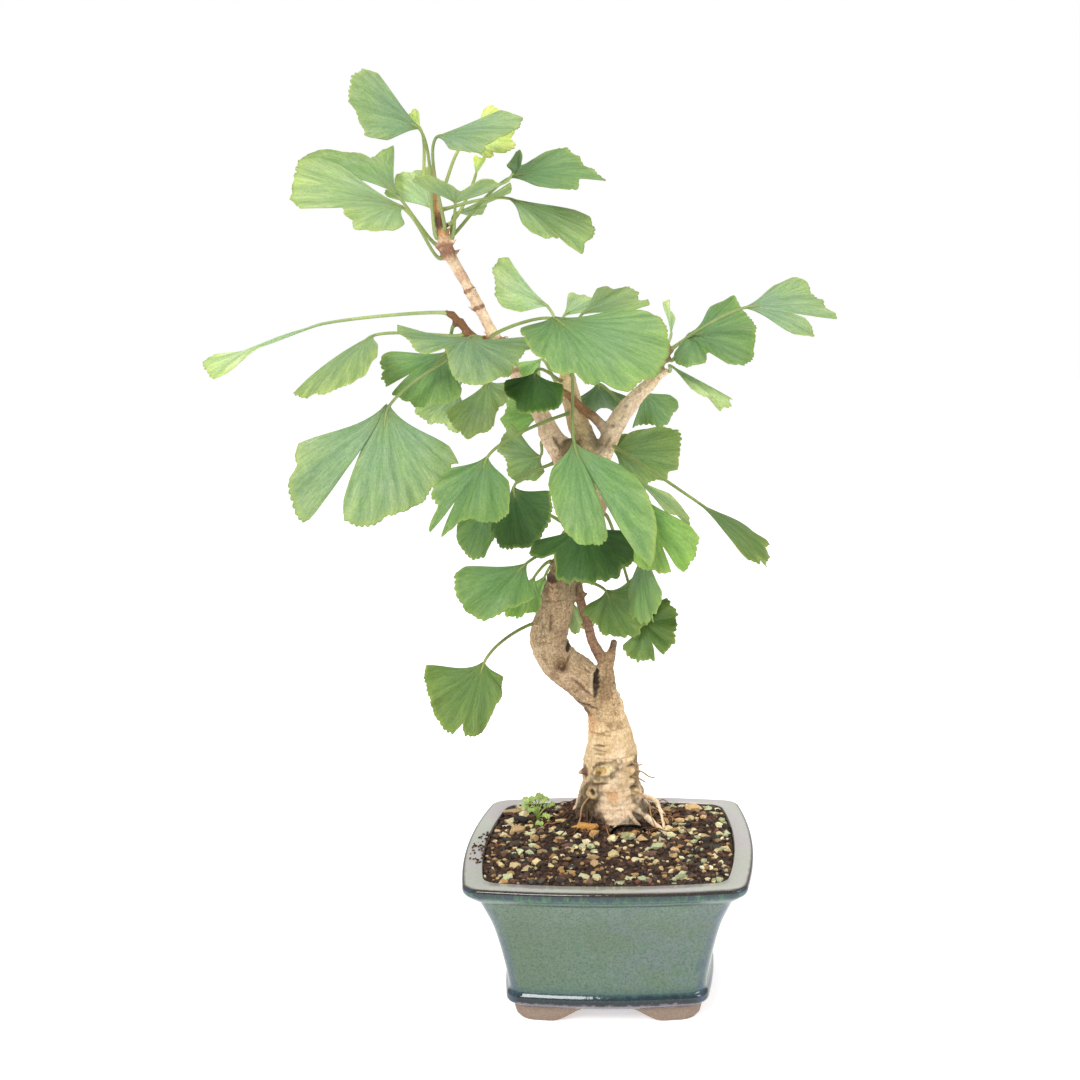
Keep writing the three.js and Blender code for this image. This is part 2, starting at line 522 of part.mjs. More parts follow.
// Directions of the fan's columns, with one in each cleft and one at either lip of it.
function fanDirections(leaf) {
  const [right, left] = leaf.spread;
  const fixed = (leaf.cleft ?? []).flatMap(([at, , halfWidth]) => [at - halfWidth, at, at + halfWidth]);
  const even = [];
  for (let i = 0; i <= leaf.columns; i += 1) {
    const direction = THREE.MathUtils.lerp(-left, right, i / leaf.columns);
    const room = (0.4 * (left + right)) / leaf.columns;
    const crowded = fixed.some((other) => Math.abs(other - direction) < room);
    if (i === 0 || i === leaf.columns || !crowded) {
      even.push(direction);
    }
  }
  return [...even, ...fixed].sort((a, b) => a - b);
}

// A frame for the blade: along from base to tip, across, and the normal of its upper face.
function bladeFrame(leaf) {
  const base = vector(leaf.base);
  const along = vector(leaf.tip).sub(base);
  const chord = along.length();
  along.normalize();
  const level = new THREE.Vector3(0, 1, 0).cross(along).normalize();
  const facing = level.clone().cross(along);
  const turn = leaf.roll * RADIANS;
  const across = level.clone().multiplyScalar(Math.cos(turn)).addScaledVector(facing, -Math.sin(turn));
  const normal = across.clone().cross(along);
  const half = (leaf.bend * RADIANS) / 2;
  const length = (chord * half) / Math.sin(half);
  return { base, along, across, normal, length };
}

// A point of the blade's mid-surface: share of the radius from 0 to 1, and the direction in the fan.
function bladePoint(leaf, frame, share, direction) {
  const { length } = frame;
  const radius = share * length * fanRadius(direction, leaf);
  const angle = direction * RADIANS * (1 - LEAF.waist * (1 - share) ** 2);
  const flatAlong = radius * Math.cos(angle);
  const flatAcross = radius * Math.sin(angle);
  const ripple = leaf.ripple * share * share * Math.sin(direction * 0.16 + leaf.seed);
  const cupping = (leaf.cup * RADIANS) / length;
  const across = Math.sin(cupping * flatAcross) / cupping;
  const lift = (1 - Math.cos(cupping * flatAcross)) / cupping + ripple;
  const bending = (leaf.bend * RADIANS) / length;
  const turn = bending * flatAlong;
  const arcAlong = Math.sin(turn) / bending + lift * Math.sin(turn);
  const arcUp = -(1 - Math.cos(turn)) / bending + lift * Math.cos(turn);
  const level = (leaf.bend * RADIANS) / 2;
  const alongOut = arcAlong * Math.cos(level) - arcUp * Math.sin(level);
  const up = arcAlong * Math.sin(level) + arcUp * Math.cos(level);
  const twist = leaf.twist * RADIANS * (flatAlong / length);
  return frame.base.clone()
    .addScaledVector(frame.along, alongOut)
    .addScaledVector(frame.across, across * Math.cos(twist) - up * Math.sin(twist))
    .addScaledVector(frame.normal, across * Math.sin(twist) + up * Math.cos(twist));
}

// The blade: its mid-surface grid offset to both faces along the surface's own normals, closed round the rim.
function makeBlade(leaf, frame) {
  const directions = fanDirections(leaf);
  const columns = directions.length;
  const grid = [];
  for (let row = 0; row <= leaf.rows; row += 1) {
    const share = THREE.MathUtils.lerp(LEAF.start, 1, row / leaf.rows);
    grid.push(directions.map((direction) => bladePoint(leaf, frame, share, direction)));
  }
  const at = (row, column) => grid[row][column];
  const faceNormal = (row, column) => {
    const ahead = at(Math.min(row + 1, leaf.rows), column).clone().sub(at(Math.max(row - 1, 0), column));
    const beside = at(row, Math.min(column + 1, columns - 1)).clone().sub(at(row, Math.max(column - 1, 0)));
    return beside.cross(ahead).normalize();
  };
  const points = [];
  for (const sign of [1, -1]) {
    for (let row = 0; row <= leaf.rows; row += 1) {
      for (let column = 0; column < columns; column += 1) {
        const out = faceNormal(row, column).multiplyScalar((sign * LEAF.thick) / 2);
        points.push(at(row, column).clone().add(out));
      }
    }
  }
  const under = (leaf.rows + 1) * columns;
  const index = (row, column) => row * columns + column;
  const triangles = [];
  for (let row = 0; row < leaf.rows; row += 1) {
    for (let column = 0; column + 1 < columns; column += 1) {
      const [a, b] = [index(row, column), index(row, column + 1)];
      const [c, d] = [index(row + 1, column + 1), index(row + 1, column)];
      triangles.push(a, b, c, a, c, d);
      triangles.push(under + a, under + c, under + b, under + a, under + d, under + c);
    }
  }
  const rim = [];
  for (let column = 0; column < columns; column += 1) rim.push(index(0, column));
  for (let row = 1; row <= leaf.rows; row += 1) rim.push(index(row, columns - 1));
  for (let column = columns - 2; column >= 0; column -= 1) rim.push(index(leaf.rows, column));
  for (let row = leaf.rows - 1; row > 0; row -= 1) rim.push(index(row, 0));
  rim.forEach((a, i) => {
    const b = rim[(i + 1) % rim.length];
    triangles.push(a, under + a, under + b, a, under + b, b);
  });
  return geometryFrom(points, triangles);
}

function makeStalk(leaf, frame) {
  const { start, sideways } = stalkStart(leaf);
  const root = bladePoint(leaf, frame, LEAF.start, 0);
  const sunk = bladePoint(leaf, frame, LEAF.stalkEnd, 0);
  const entry = sunk.clone().sub(root).normalize();
  const span = root.distanceTo(start);
  const pull = Math.min(LEAF.stalkBow * span, LEAF.stalkBowMost);
  const curve = new THREE.CubicBezierCurve3(
    start, start.clone().addScaledVector(sideways, pull), root.clone().addScaledVector(entry, -pull), root);
  const steps = 4;
  const path = curve.getPoints(steps).map((point, i) => [
    ...point.toArray(), LEAF.stalkRadius * (1 - (0.1 * i) / steps)]);
  path.push([...sunk.toArray(), LEAF.stalkTip]);
  return taperedTube(path, 3, steps + 1);
}

function makeLeaf(settings) {
  const frame = bladeFrame(settings);
  const leaf = {
    ...settings,
    rows: LEAF.rows + (frame.length > LEAF.longBlade ? 1 : 0),
    columns: LEAF.columns - (frame.length < LEAF.shortBlade ? 2 : 0),
  };
  return toGeometry(toSolid(makeBlade(leaf, frame)).add(toSolid(makeStalk(leaf, frame))));
}

// ---------------------------------------------------------------- weed, wire and drainage mesh

function makeWeed() {
  const ground = SOIL.level - WEED.depth;
  const crown = [WEED.x, WEED.y, SOIL.level + 2];
  const parts = [toSolid(taperedTube([
    [WEED.x, WEED.y, ground + 0.5, WEED.radius], [...crown, WEED.radius]], 6, 2))];
  for (let i = 0; i < WEED.stems; i += 1) {
    const angle = (i / WEED.stems) * 2 * Math.PI + 0.4;
    const reach = WEED.reach + 2 * (i % 3);
    const height = SOIL.level + WEED.height + 3 * ((i * 2) % 3);
    const head = [WEED.x + reach * Math.cos(angle), WEED.y + reach * Math.sin(angle), height];
    const knee = [WEED.x + 0.5 * reach * Math.cos(angle), WEED.y + 0.5 * reach * Math.sin(angle), height - 4];
    parts.push(toSolid(taperedTube([[...crown, 0.6], [...knee, 0.5], [...head, 0.5]], 3, 2)));
    for (let lobe = 0; lobe < 3; lobe += 1) {
      const leaflet = new THREE.OctahedronGeometry(2.4, 0);
      leaflet.scale(1, 0.8, 0.2);
      leaflet.translate(1.9, 0, 0.3);
      leaflet.rotateZ(angle + (lobe - 1) * 2.1);
      leaflet.translate(...head);
      parts.push(toSolid(leaflet));
    }
  }
  return toGeometry(joinAll(parts));
}

function makeWire() {
  const { from, top, to, radius } = WIRE;
  const rise = (end, share) => [
    THREE.MathUtils.lerp(end[0], top[0], share), THREE.MathUtils.lerp(end[1], top[1], share)];
  const path = [
    [...from, radius], [from[0], from[1], top[2] - 5, radius], [...rise(from, 0.35), top[2] - 1.2, radius],
    [...top, radius], [...rise(to, 0.35), top[2] - 1.2, radius], [to[0], to[1], top[2] - 5, radius],
    [...to, radius]];
  return taperedTube(path, 6, 10);
}

function makeDrainMesh() {
  let sheet = toSolid(new THREE.BoxGeometry(MESH.side, MESH.side, MESH.thick));
  const middle = (MESH.count - 1) / 2;
  for (let i = 0; i < MESH.count ** 2; i += 1) {
    const [column, row] = [i % MESH.count, Math.floor(i / MESH.count)];
    const hole = new THREE.BoxGeometry(MESH.hole, MESH.hole, 3 * MESH.thick);
    hole.translate((column - middle) * MESH.pitch, (row - middle) * MESH.pitch, 0);
    sheet = sheet.subtract(toSolid(hole));
  }
  const geometry = toGeometry(sheet);
  geometry.translate(0, 0, POT.floor + GAP + MESH.thick / 2);
  return geometry;
}

// ---------------------------------------------------------------- assembly

const bonsai = new THREE.Group();

function addPiece(name, geometry, color, roughness, metalness = 0) {
  const material = new THREE.MeshStandardMaterial({ color, roughness, metalness });
  const mesh = new THREE.Mesh(geometry, material);
  mesh.name = name;
  bonsai.add(mesh);
}

addPiece('pot', makePot(), COLOURS.glaze, 0.3);
addPiece('drain_mesh', makeDrainMesh(), COLOURS.mesh, 0.6);
addPiece('soil', makeSoil(), COLOURS.soil, 0.95);
addPiece('trunk', makeTrunk(), COLOURS.bark, 0.85);
addPiece('anchor_wire', makeWire(), COLOURS.wire, 0.45);
addPiece('weed', makeWeed(), COLOURS.weed, 0.6);
Object.entries(LEAVES).forEach(([name, leaf], i) => {
  const settings = { bend: 18, cup: 14, ripple: 1.6, twist: 0, reach: [1, 1], seed: 1.7 * i, ...leaf };
  addPiece(`leaf_${name}`, makeLeaf(settings), COLOURS.leaf, 0.55);
});

// The origin is the bottom centre of the whole plant's box.
const bounds = new THREE.Box3().setFromObject(bonsai);
bonsai.position.set(-(bounds.min.x + bounds.max.x) / 2, -(bounds.min.y + bounds.max.y) / 2, -bounds.min.z);

export default bonsai;
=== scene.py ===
"""Ginkgo bonsai in a square glazed pot: the visible pieces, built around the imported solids.

Shapes are laid out in millimetres about the pot's centre (x right, y back, z up from the ground), as the
solids are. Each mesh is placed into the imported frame, in metres, once it is made.
"""

from __future__ import annotations

import logging
import math
import random
from collections.abc import Iterable, Iterator, Sequence
from contextlib import contextmanager
from dataclasses import dataclass, field
from enum import Enum

import bmesh
import bpy
import numpy as np
from mathutils import Matrix, Vector, noise


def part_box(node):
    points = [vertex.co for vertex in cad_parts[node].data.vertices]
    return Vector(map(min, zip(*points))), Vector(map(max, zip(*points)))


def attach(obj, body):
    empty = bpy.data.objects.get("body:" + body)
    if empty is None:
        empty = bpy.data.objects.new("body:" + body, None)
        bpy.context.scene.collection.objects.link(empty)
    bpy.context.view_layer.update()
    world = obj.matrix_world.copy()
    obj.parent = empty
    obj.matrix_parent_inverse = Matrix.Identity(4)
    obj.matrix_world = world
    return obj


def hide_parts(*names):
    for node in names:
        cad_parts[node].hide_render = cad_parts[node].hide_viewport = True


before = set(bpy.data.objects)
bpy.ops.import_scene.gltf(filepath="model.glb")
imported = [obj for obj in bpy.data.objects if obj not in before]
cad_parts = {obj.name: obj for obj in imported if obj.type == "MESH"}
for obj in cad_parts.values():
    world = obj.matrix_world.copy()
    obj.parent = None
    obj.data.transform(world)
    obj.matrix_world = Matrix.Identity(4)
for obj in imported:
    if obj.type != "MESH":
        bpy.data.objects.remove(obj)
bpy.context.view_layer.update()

LOG = logging.getLogger("ginkgo")
Point = tuple[float, float, float]
Limb = tuple[tuple[float, float, float, float], ...]

MM = 0.001
BODY = "root"
WELD = 1e-4  # how near two points are made one
GAP = 0.3  # the room between a bud and its leaf's stalk
FOOT_X, FOOT_Y = -1, 39  # the middle of the trunk's foot
SOIL_LEVEL = 76.8


class Slot(Enum):
    """Names of the record's material slots; no piece is given one here."""

    GLAZE = "glaze"
    SOIL = "soil"
    BARK = "bark"
    LEAF = "leaf"
    WEED = "weed"
    WIRE = "wire"


class Tone(Enum):
    """Greens of the blades, from new growth to deep shade, as sRGB hex: lit leaves carry painted light and
    shaded ones painted shade.
    """

    YOUNG = "dfe896"
    MILKY = "bfd39c"
    PALE = "a4ba7e"
    GLOW = "aacc7c"
    SAGE = "93ac7c"
    HAZE = "94ad70"
    LIT = "83a466"
    FRESH = "88ad5a"
    MID = "77985c"
    OLIVE = "748e4c"
    DEEP = "5f8248"
    DARK = "4a6c36"


# ---------------------------------------------------------------- driving sizes, as in the part's source


@dataclass(frozen=True)
class Leaf:
    """One leaf: the place it springs from, how its fan lies, and its tone.

    Args:
        limb: the limb that its stalk springs from.
        place: how far along the limb that is, from 0 to 1.
        out: the direction in which the stalk leaves the limb.
        base: where the blade meets the stalk.
        tip: the middle of the blade's far margin.
        roll: turn about the line from base to tip, in degrees (0 faces the front, 90 lies flat).
        spread: the fan's angle to either side, in degrees.
        tone: the green of the blade, which also carries painted light and shade for where it hangs.
        reach: length of the two outer lobes, as a share of the middle's.
        clefts: (direction, share of the length, half width) of each cleft.
        bend: how far the blade arches from base to tip, in degrees.
        cup: how far it cups from side to side, in degrees.
        ripple: height of the wide waves across the fan.
        twist: turn of the blade's far part, in degrees.
        outline: (direction, share of the length) of the points that give a large blade its own outline, in
            place of its even fan, lobes and clefts.
    """

    limb: str
    place: float
    out: Point
    base: Point
    tip: Point
    roll: float
    spread: tuple[float, float]
    tone: Tone = Tone.MID
    reach: tuple[float, float] = (1.0, 1.0)
    clefts: tuple[Point, ...] = ()
    bend: float = 18.0
    cup: float = 14.0
    ripple: float = 1.6
    twist: float = 0.0
    outline: tuple[tuple[float, float], ...] = ()


# Each limb is a row of (x, y, z, radius), swept as one smooth tube.
LIMBS: dict[str, Limb] = {
    "trunk": ((-1, 36, 96, 15.4), (-1, 35, 103, 15.5), (-1, 33, 115, 14.4), (-1, 31, 127, 12),
        (-3, 29, 139, 10.2), (-5, 27, 150, 9), (-4, 26, 158, 6.4), (-3, 26, 166, 4.4),
        (-0.4, 27, 172, 2.8), (0.8, 28, 176, 1.9), (1.4, 28, 179, 1.9)),
    "lower": ((-5, 28, 142, 8), (-10, 27, 153, 10.4), (-18, 26, 161, 10.6), (-25, 25, 167, 10.2),
        (-31, 24, 174, 9.9), (-33, 23, 182, 10), (-31, 22, 192, 9.8), (-28, 20, 202, 8.9),
        (-26, 18, 211, 7.9), (-24, 16, 220, 6.8), (-20, 14, 234, 6.8), (-13, 12, 246, 7),
        (-8, 10, 258, 7.5), (-9, 9, 267, 8), (-9, 9, 274, 6)),
    "left": ((-9, 9, 262, 6.4), (-17, 8, 273, 7), (-23, 7, 282, 6.6), (-29, 6, 291, 5.8),
        (-34, 5, 302, 4.2), (-41, 4, 312, 3.1), (-47.5, 3, 324, 2.8), (-53.5, 2, 337, 2.8),
        (-59.4, 2, 347, 2.6), (-64.6, 1, 357, 2.8), (-70.2, 0, 368, 2.7), (-75.8, 0, 378, 2.8),
        (-79, -1, 384, 3.2), (-81, -1, 390, 2.5)),
    "apex": ((-80, -1, 387, 2.6), (-82, -1, 396, 2.3), (-84, -1, 411, 2), (-86, 0, 424, 1.7)),
    "middle": ((-9, 9, 265, 6), (-9, 11, 281, 6), (-15, 13, 295, 5.6), (-19, 15, 309, 4.8),
        (-21, 16, 319, 4.4), (-22, 17, 327, 3.2)),
    "right": ((-8, 9, 266, 5.6), (-2, 10, 284, 4.9), (4, 11, 297, 5), (12, 11, 308, 4.2),
        (19, 11, 315, 3.7), (25, 11, 321, 2.8), (28, 11, 323, 2)),
    "thin": ((-4, 26, 168, 3), (-7, 26, 174, 3), (-10.4, 24, 182, 2.6), (-12.8, 22, 193, 2.5),
        (-16, 21, 204, 2.5), (-17, 21, 214, 2.2)),
    "twig": ((0, 11, 291, 3), (-6, 9, 299, 2.7), (-13, 6, 305, 2.2), (-20, 2, 312, 2),
        (-27, -1, 316, 1.6)),
    "spur": ((-55, 2, 340, 1.8), (-64, -1, 340, 2), (-71, -4, 346, 1.8), (-76, -6, 352, 1.7)),
    "side": ((22, 11, 319, 2.2), (27, 9, 327, 1.9), (31, 7, 334, 1.7)),
    "knob": ((-25, 17, 217, 3), (-24.5, 12, 221, 3.8), (-24, 8, 224, 3.4)),
    "boss": ((-24, 9, 279, 4.5), (-20, 3, 284, 5), (-18, 0, 287, 4)),
}

LEAVES: dict[str, Leaf] = {
    "apex_1": Leaf("left", 0.97, (-1, -0.6, 1.4), (-88, -11, 441), (-120, -34, 453), 25, (33, 36), Tone.SAGE,
        bend=14, outline=((-36, 0.55), (-28, 0.84), (-18, 0.81), (-5, 0.86), (-1, 0.98), (14, 1.03),
            (27, 0.96), (33, 0.8))),
    "apex_2": Leaf("apex", 0.22, (0.5, -1, 0.5), (-82, -16, 437), (-42, -31, 434), -60, (46, 38), Tone.SAGE,
        bend=28, outline=((-38, 0.8), (-30, 1.03), (-14, 0.94), (0, 0.89), (15, 0.79), (28, 0.94), (39, 1.05),
            (46, 0.7))),
    "apex_3": Leaf("apex", 0.66, (0.6, 0.6, 1), (-68.5, 6, 438), (-45, 6, 440.4), -20, (60, 54), Tone.YOUNG,
        outline=((-54, 0.69), (-47, 0.9), (-39, 0.92), (-20, 1.0), (-1, 1.04), (4, 0.92), (9, 1.03),
            (21, 1.03), (33, 0.85), (36, 0.67), (42, 0.71), (50, 0.61), (60, 0.35))),
    "apex_4": Leaf("left", 0.88, (-1, -0.3, 0.2), (-96, -17, 404), (-142, -44, 408), 60, (48, 70),
        Tone.PALE, bend=12, outline=((-70, 0.42), (-62, 0.72), (-50, 0.84), (-40, 0.83), (-33, 0.74),
            (-28, 0.78), (-16, 0.68), (-12, 1.06), (-1, 1.07), (6, 1.03), (20, 1.0), (36, 1.05), (43, 0.93),
            (48, 0.72))),
    "apex_5": Leaf("left", 0.94, (-1, 0.3, 0.8), (-101, -5, 410), (-134, 24, 429), 50, (33, 16), Tone.HAZE,
        cup=30, outline=((-16, 0.8), (-12, 1.25), (-8, 1.6), (-2, 1.66), (3, 1.45), (5, 1.2), (8, 1.12),
            (12, 1.04), (15, 0.84), (20, 0.9), (26, 1.0), (33, 0.98))),
    "apex_6": Leaf("left", 0.95, (-0.3, 1, 0.5), (-87, 9, 404), (-105, 26, 422), 22, (34, 34), Tone.MILKY),
    "apex_7": Leaf("left", 0.97, (0.9, -0.5, 0.3), (-73, -11, 406), (-64, -46, 413), -128, (50, 58),
        Tone.PALE, clefts=((0, 0.3, 16),), cup=40),
    "apex_8": Leaf("apex", 0.3, (1, 0.3, 0.6), (-65.6, 11, 420.5), (-62.5, 14, 431), -10, (20, 20),
        Tone.YOUNG),
    "apex_9": Leaf("left", 0.98, (1, -0.1, 0.9), (-48, -2, 419), (-1, -5, 421), -62, (49, 100), Tone.MID,
        outline=((-100, 0.36), (-88, 0.61), (-75, 0.45), (-66, 0.28), (-58, 0.45), (-55, 0.63), (-49, 0.76),
            (-29, 0.75), (-25, 0.81), (-8, 0.82), (3, 0.93), (11, 1.07), (13, 0.8), (25, 0.85), (41, 0.95),
            (47, 0.81), (49, 0.6))),
    "apex_10": Leaf("apex", 0.5, (1, -0.4, 0.1), (-48, -11, 409), (-7, -26, 386), -68, (46, 39), Tone.HAZE,
        outline=((-39, 0.7), (-36, 0.86), (-23, 0.93), (-5, 0.97), (4, 0.99), (10, 1.08), (13, 0.95),
            (17, 0.85), (27, 0.95), (36, 1.01), (44, 0.96), (46, 0.74))),
    "apex_11": Leaf("left", 0.96, (0.5, 0.9, 0.5), (-76, 5, 402), (-50, 22, 412), 78, (40, 40), Tone.PALE,
        outline=((-40, 1.0), (-14, 0.93), (-8, 0.65), (16, 0.6), (37, 0.65), (40, 0.5))),
    "apex_12": Leaf("apex", 0.75, (-1, -0.4, 0.6), (-90, -4, 442), (-95, -6, 450), 30, (34, 34), Tone.YOUNG),
    "left_1": Leaf("spur", 1, (-1, -0.2, 0.3), (-134, -18, 349), (-190, -36, 325.6), 100, (13, 13),
        Tone.MILKY, bend=16, cup=6, twist=62),
    "left_2": Leaf("spur", 0.55, (-1, -0.5, 0), (-113, -12, 343.3), (-142, -44, 312), 66, (40, 54), Tone.PALE,
        bend=24, cup=-34, outline=((-54, 0.45), (-51, 0.7), (-43, 0.79), (-30, 0.88), (-22, 0.92),
            (-14, 0.99), (8, 0.93), (29, 0.95), (40, 0.9))),
    "left_3": Leaf("spur", 0.3, (-0.1, -1, 0.3), (-66, -20, 342), (-70, -58, 321), 4, (82, 94), Tone.SAGE,
        bend=30, outline=((-94, 0.6), (-75, 0.76), (-44, 0.86), (-37, 0.98), (-18, 1.05), (-4, 0.95),
            (6, 0.76), (12, 0.6), (21, 0.52), (34, 0.66), (46, 0.74), (63, 0.79), (82, 0.8))),
    "left_4": Leaf("spur", 0.85, (-0.4, 0.2, -1), (-80, 4, 334), (-102, -14, 311), 30, (48, 56), Tone.LIT,
        clefts=((12, 0.4, 5),), bend=22),
    "left_5": Leaf("spur", 0.42, (-0.2, -1, -0.6), (-105, -30, 311), (-114, -34, 253), -8, (56, 62),
        Tone.SAGE, bend=14, outline=((-62, 0.62), (-57, 0.77), (-53, 0.73), (-46, 0.81), (-34, 0.8),
            (-28, 0.88), (-17, 0.92), (-8, 0.95), (-3, 1.02), (3, 1.07), (12, 1.07), (16, 0.9), (19, 0.6),
            (21, 0.42), (23, 0.7), (25, 1.16), (27, 1.23), (34, 1.16), (43, 1.04), (46, 0.9), (51, 0.88),
            (56, 0.8))),
    "left_6": Leaf("left", 0.5, (-0.5, 1, -0.4), (-62, 19, 319), (-70, 22, 287), 0, (40, 95), Tone.PALE,
        outline=((-95, 0.32), (-75, 0.38), (-56, 0.45), (-34, 0.48), (-25, 0.56), (-20, 0.74), (-1, 0.91),
            (6, 1.04), (16, 0.96), (26, 0.91), (40, 0.85))),
    "left_7": Leaf("left", 0.56, (-1, 1, -0.2), (-78, 24, 315), (-91, 38, 293), -15, (46, 42), Tone.MILKY),
    "mid_1": Leaf("middle", 0.5, (-0.5, -1, 0), (-56, -40, 286), (-64, -52, 252), 20, (60, 52), Tone.MID,
        bend=20, outline=((-52, 0.48), (-44, 0.7), (-36, 0.92), (-28, 0.95), (-12, 0.92), (0, 0.88),
            (10, 0.97), (18, 1.25), (20, 1.0), (22, 0.71), (23, 1.0), (25, 1.3), (29, 1.16), (31, 0.94),
            (40, 0.92), (50, 0.73), (60, 0.56))),
    "mid_2": Leaf("lower", 0.76, (-1, -0.1, 0.3), (-59, 4, 260), (-65, -2, 228), 10, (43, 18), Tone.MID,
        outline=((-18, 0.6), (-14, 0.66), (-8, 0.77), (-4, 0.94), (6, 1.04), (17, 1.0), (29, 0.84),
            (43, 0.66))),
    "mid_3": Leaf("left", 0.14, (-1, -0.7, -0.2), (-48, -4, 267), (-39, -12, 238), 20, (50, 64), Tone.DARK,
        outline=((-64, 0.76), (-37, 0.89), (-15, 1.0), (2, 1.05), (15, 1.03), (27, 1.05), (35, 0.97),
            (45, 0.84), (50, 0.67))),
    "mid_4": Leaf("left", 0.22, (-1, 0.7, -0.2), (-35, 20, 279), (-58, 31, 278), -15, (60, 86), Tone.HAZE,
        cup=20, outline=((-86, 0.35), (-58, 0.61), (-45, 0.74), (-41, 0.92), (-32, 0.87), (-12, 0.96),
            (10, 1.01), (23, 0.96), (38, 0.92), (60, 0.9))),
    "mid_5": Leaf("left", 0.3, (-0.6, 1, 0.1), (-36, 25, 300), (-57, 40, 296), 15, (40, 40), Tone.GLOW),
    "mid_6": Leaf("middle", 0.78, (-0.6, -1, 0.3), (-34, -23, 325), (-35.5, -42, 306), 6, (61, 52),
        Tone.DARK, outline=((-52, 0.7), (-45, 0.83), (-36, 0.96), (-26, 1.0), (-16, 1.05), (-3, 1.03),
            (14, 0.96), (20, 0.81), (33, 0.8), (57, 0.64), (61, 0.57))),
    "mid_7": Leaf("spur", 0.12, (0.3, -1, 0.5), (-25, -28, 352), (9, -70, 317), -46, (78, 80), Tone.LIT,
        bend=20, cup=10, outline=((-80, 0.55), (-70, 0.74), (-62, 0.8), (-52, 0.87), (-40, 0.93), (-28, 0.96),
            (-19, 1.01), (-14, 0.96), (-4, 0.99), (4, 0.85), (14, 0.9), (18, 0.79), (24, 0.81), (30, 0.75),
            (34, 0.63), (47, 0.55), (60, 0.45), (78, 0.3))),
    "mid_8": Leaf("middle", 0.97, (-0.2, -0.5, 1), (-28, -2, 356), (-54, 19, 369), -20, (20, 28),
        Tone.MILKY, outline=((-28, 0.5), (-25, 0.64), (-21, 0.96), (-13, 1.24), (3, 1.23), (14, 1.18),
            (20, 1.04))),
    "mid_9": Leaf("middle", 1, (0.1, 0.6, 1), (-24, 22, 351), (-4, 46, 359), -55, (34, 34), Tone.MILKY),
    "mid_10": Leaf("middle", 0.9, (0.9, 0, 0.8), (-14, 4, 352), (17, 20, 361), -66, (44, 42), Tone.HAZE,
        cup=30),
    "mid_11": Leaf("right", 0.45, (-0.6, 1, 0.2), (-6, 28, 317), (-5, 50, 300), 0, (46, 46), Tone.DEEP),
    "mid_12": Leaf("middle", 0.86, (0.5, -1, 0), (-15, -40, 293), (0, -62, 239), -20, (46, 50), Tone.LIT,
        bend=22, outline=((-50, 0.42), (-46, 0.57), (-38, 0.76), (-28, 1.0), (-18, 1.21), (-15.5, 1.06),
            (-13.5, 0.8), (-12, 0.36), (-9.5, 0.5), (-7, 0.72), (-5, 0.86), (-1, 0.9), (12, 0.87), (18, 0.79),
            (27, 0.63), (33, 0.53), (40, 0.47), (46, 0.32))),
    "mid_13": Leaf("right", 0.1, (0.9, -0.9, -0.3), (14, -26, 268), (28, -40, 227), 0, (18, 37), Tone.FRESH,
        outline=((-37, 0.75), (-34, 0.9), (-23, 1.01), (-12, 1.07), (-10, 1.0), (-9, 0.74), (-7.8, 0.72),
            (-6, 1.0), (2, 0.98), (5, 0.92), (13, 0.9), (18, 0.8))),
    "mid_14": Leaf("middle", 0.8, (-1, 0.3, -0.1), (-34, 16, 330), (-45, 14, 318), 20, (40, 40), Tone.GLOW),
    "right_1": Leaf("side", 0.7, (1, -0.2, 0.2), (39.5, 1, 342.5), (74, -19, 332), -50, (78, 92), Tone.MID,
        bend=24, outline=((-92, 0.6), (-89, 0.7), (-81, 0.86), (-61, 0.76), (-31, 0.85), (-12, 0.88),
            (5, 1.0), (15, 1.04), (22, 0.88), (25, 0.5), (28, 0.5), (38, 0.73), (56, 0.85), (70, 0.6),
            (78, 0.39))),
    "right_2": Leaf("side", 1, (0.8, -1, 0.6), (67, -22, 356), (112, -26, 354), -54, (45, 52), Tone.SAGE,
        outline=((-52, 0.52), (-41, 0.68), (-32, 0.78), (-22, 0.79), (-13, 0.87), (1, 0.88), (4, 1.01),
            (8, 1.02), (10, 0.82), (12, 0.49), (15, 0.7), (21, 0.8), (30, 0.9), (38, 0.98), (45, 0.8))),
    "right_3": Leaf("side", 1, (-0.2, 0.7, 1), (32, 14, 341), (30, 22, 358), 80, (30, 30), Tone.MILKY),
    "right_4": Leaf("right", 1, (1, -0.6, 0.2), (30, -4, 328), (58, -18, 307), -80, (34, 40), Tone.MILKY,
        ripple=2.6),
    "right_5": Leaf("right", 0.72, (0.4, 1, -0.3), (17, 24, 313), (26, 38, 297), -10, (46, 42), Tone.LIT,
        outline=((-42, 0.72), (-37, 0.92), (-16, 1.26), (-5, 1.48), (11, 1.0), (30, 0.95), (46, 0.9))),
    "right_6": Leaf("right", 0.16, (0.7, 1, 0), (1.4, 20, 282.3), (36, 18, 281), -15, (70, 85), Tone.HAZE,
        outline=((-85, 0.23), (-47, 0.34), (-34, 0.6), (-27, 0.85), (-20, 1.05), (-12, 1.08), (-3, 1.02),
            (14, 1.03), (18, 0.93), (27, 0.95), (31, 0.82), (50, 0.7), (70, 0.5))),
    "right_7": Leaf("right", 0.06, (1, -0.4, -0.4), (13, -6, 271), (44, -12, 249), -76, (36, 10),
        Tone.PALE, outline=((-10, 0.5), (-2, 0.93), (7, 1.02), (20, 0.95), (36, 0.78))),
    "right_8": Leaf("right", 0.2, (0.8, -1, -0.2), (45, -24, 261), (80, -28, 231), -82, (42, 44), Tone.OLIVE),
    "low_1": Leaf("lower", 0.72, (0.7, -1, 0.5), (-12, -14, 250), (-6, -35, 222), -10, (70, 64), Tone.DARK,
        clefts=((42, 0.3, 12),), bend=24),
    "low_2": Leaf("lower", 0.69, (-0.9, -0.9, 0.2), (-39, -24, 231), (-61, -42, 209), 30, (46, 50),
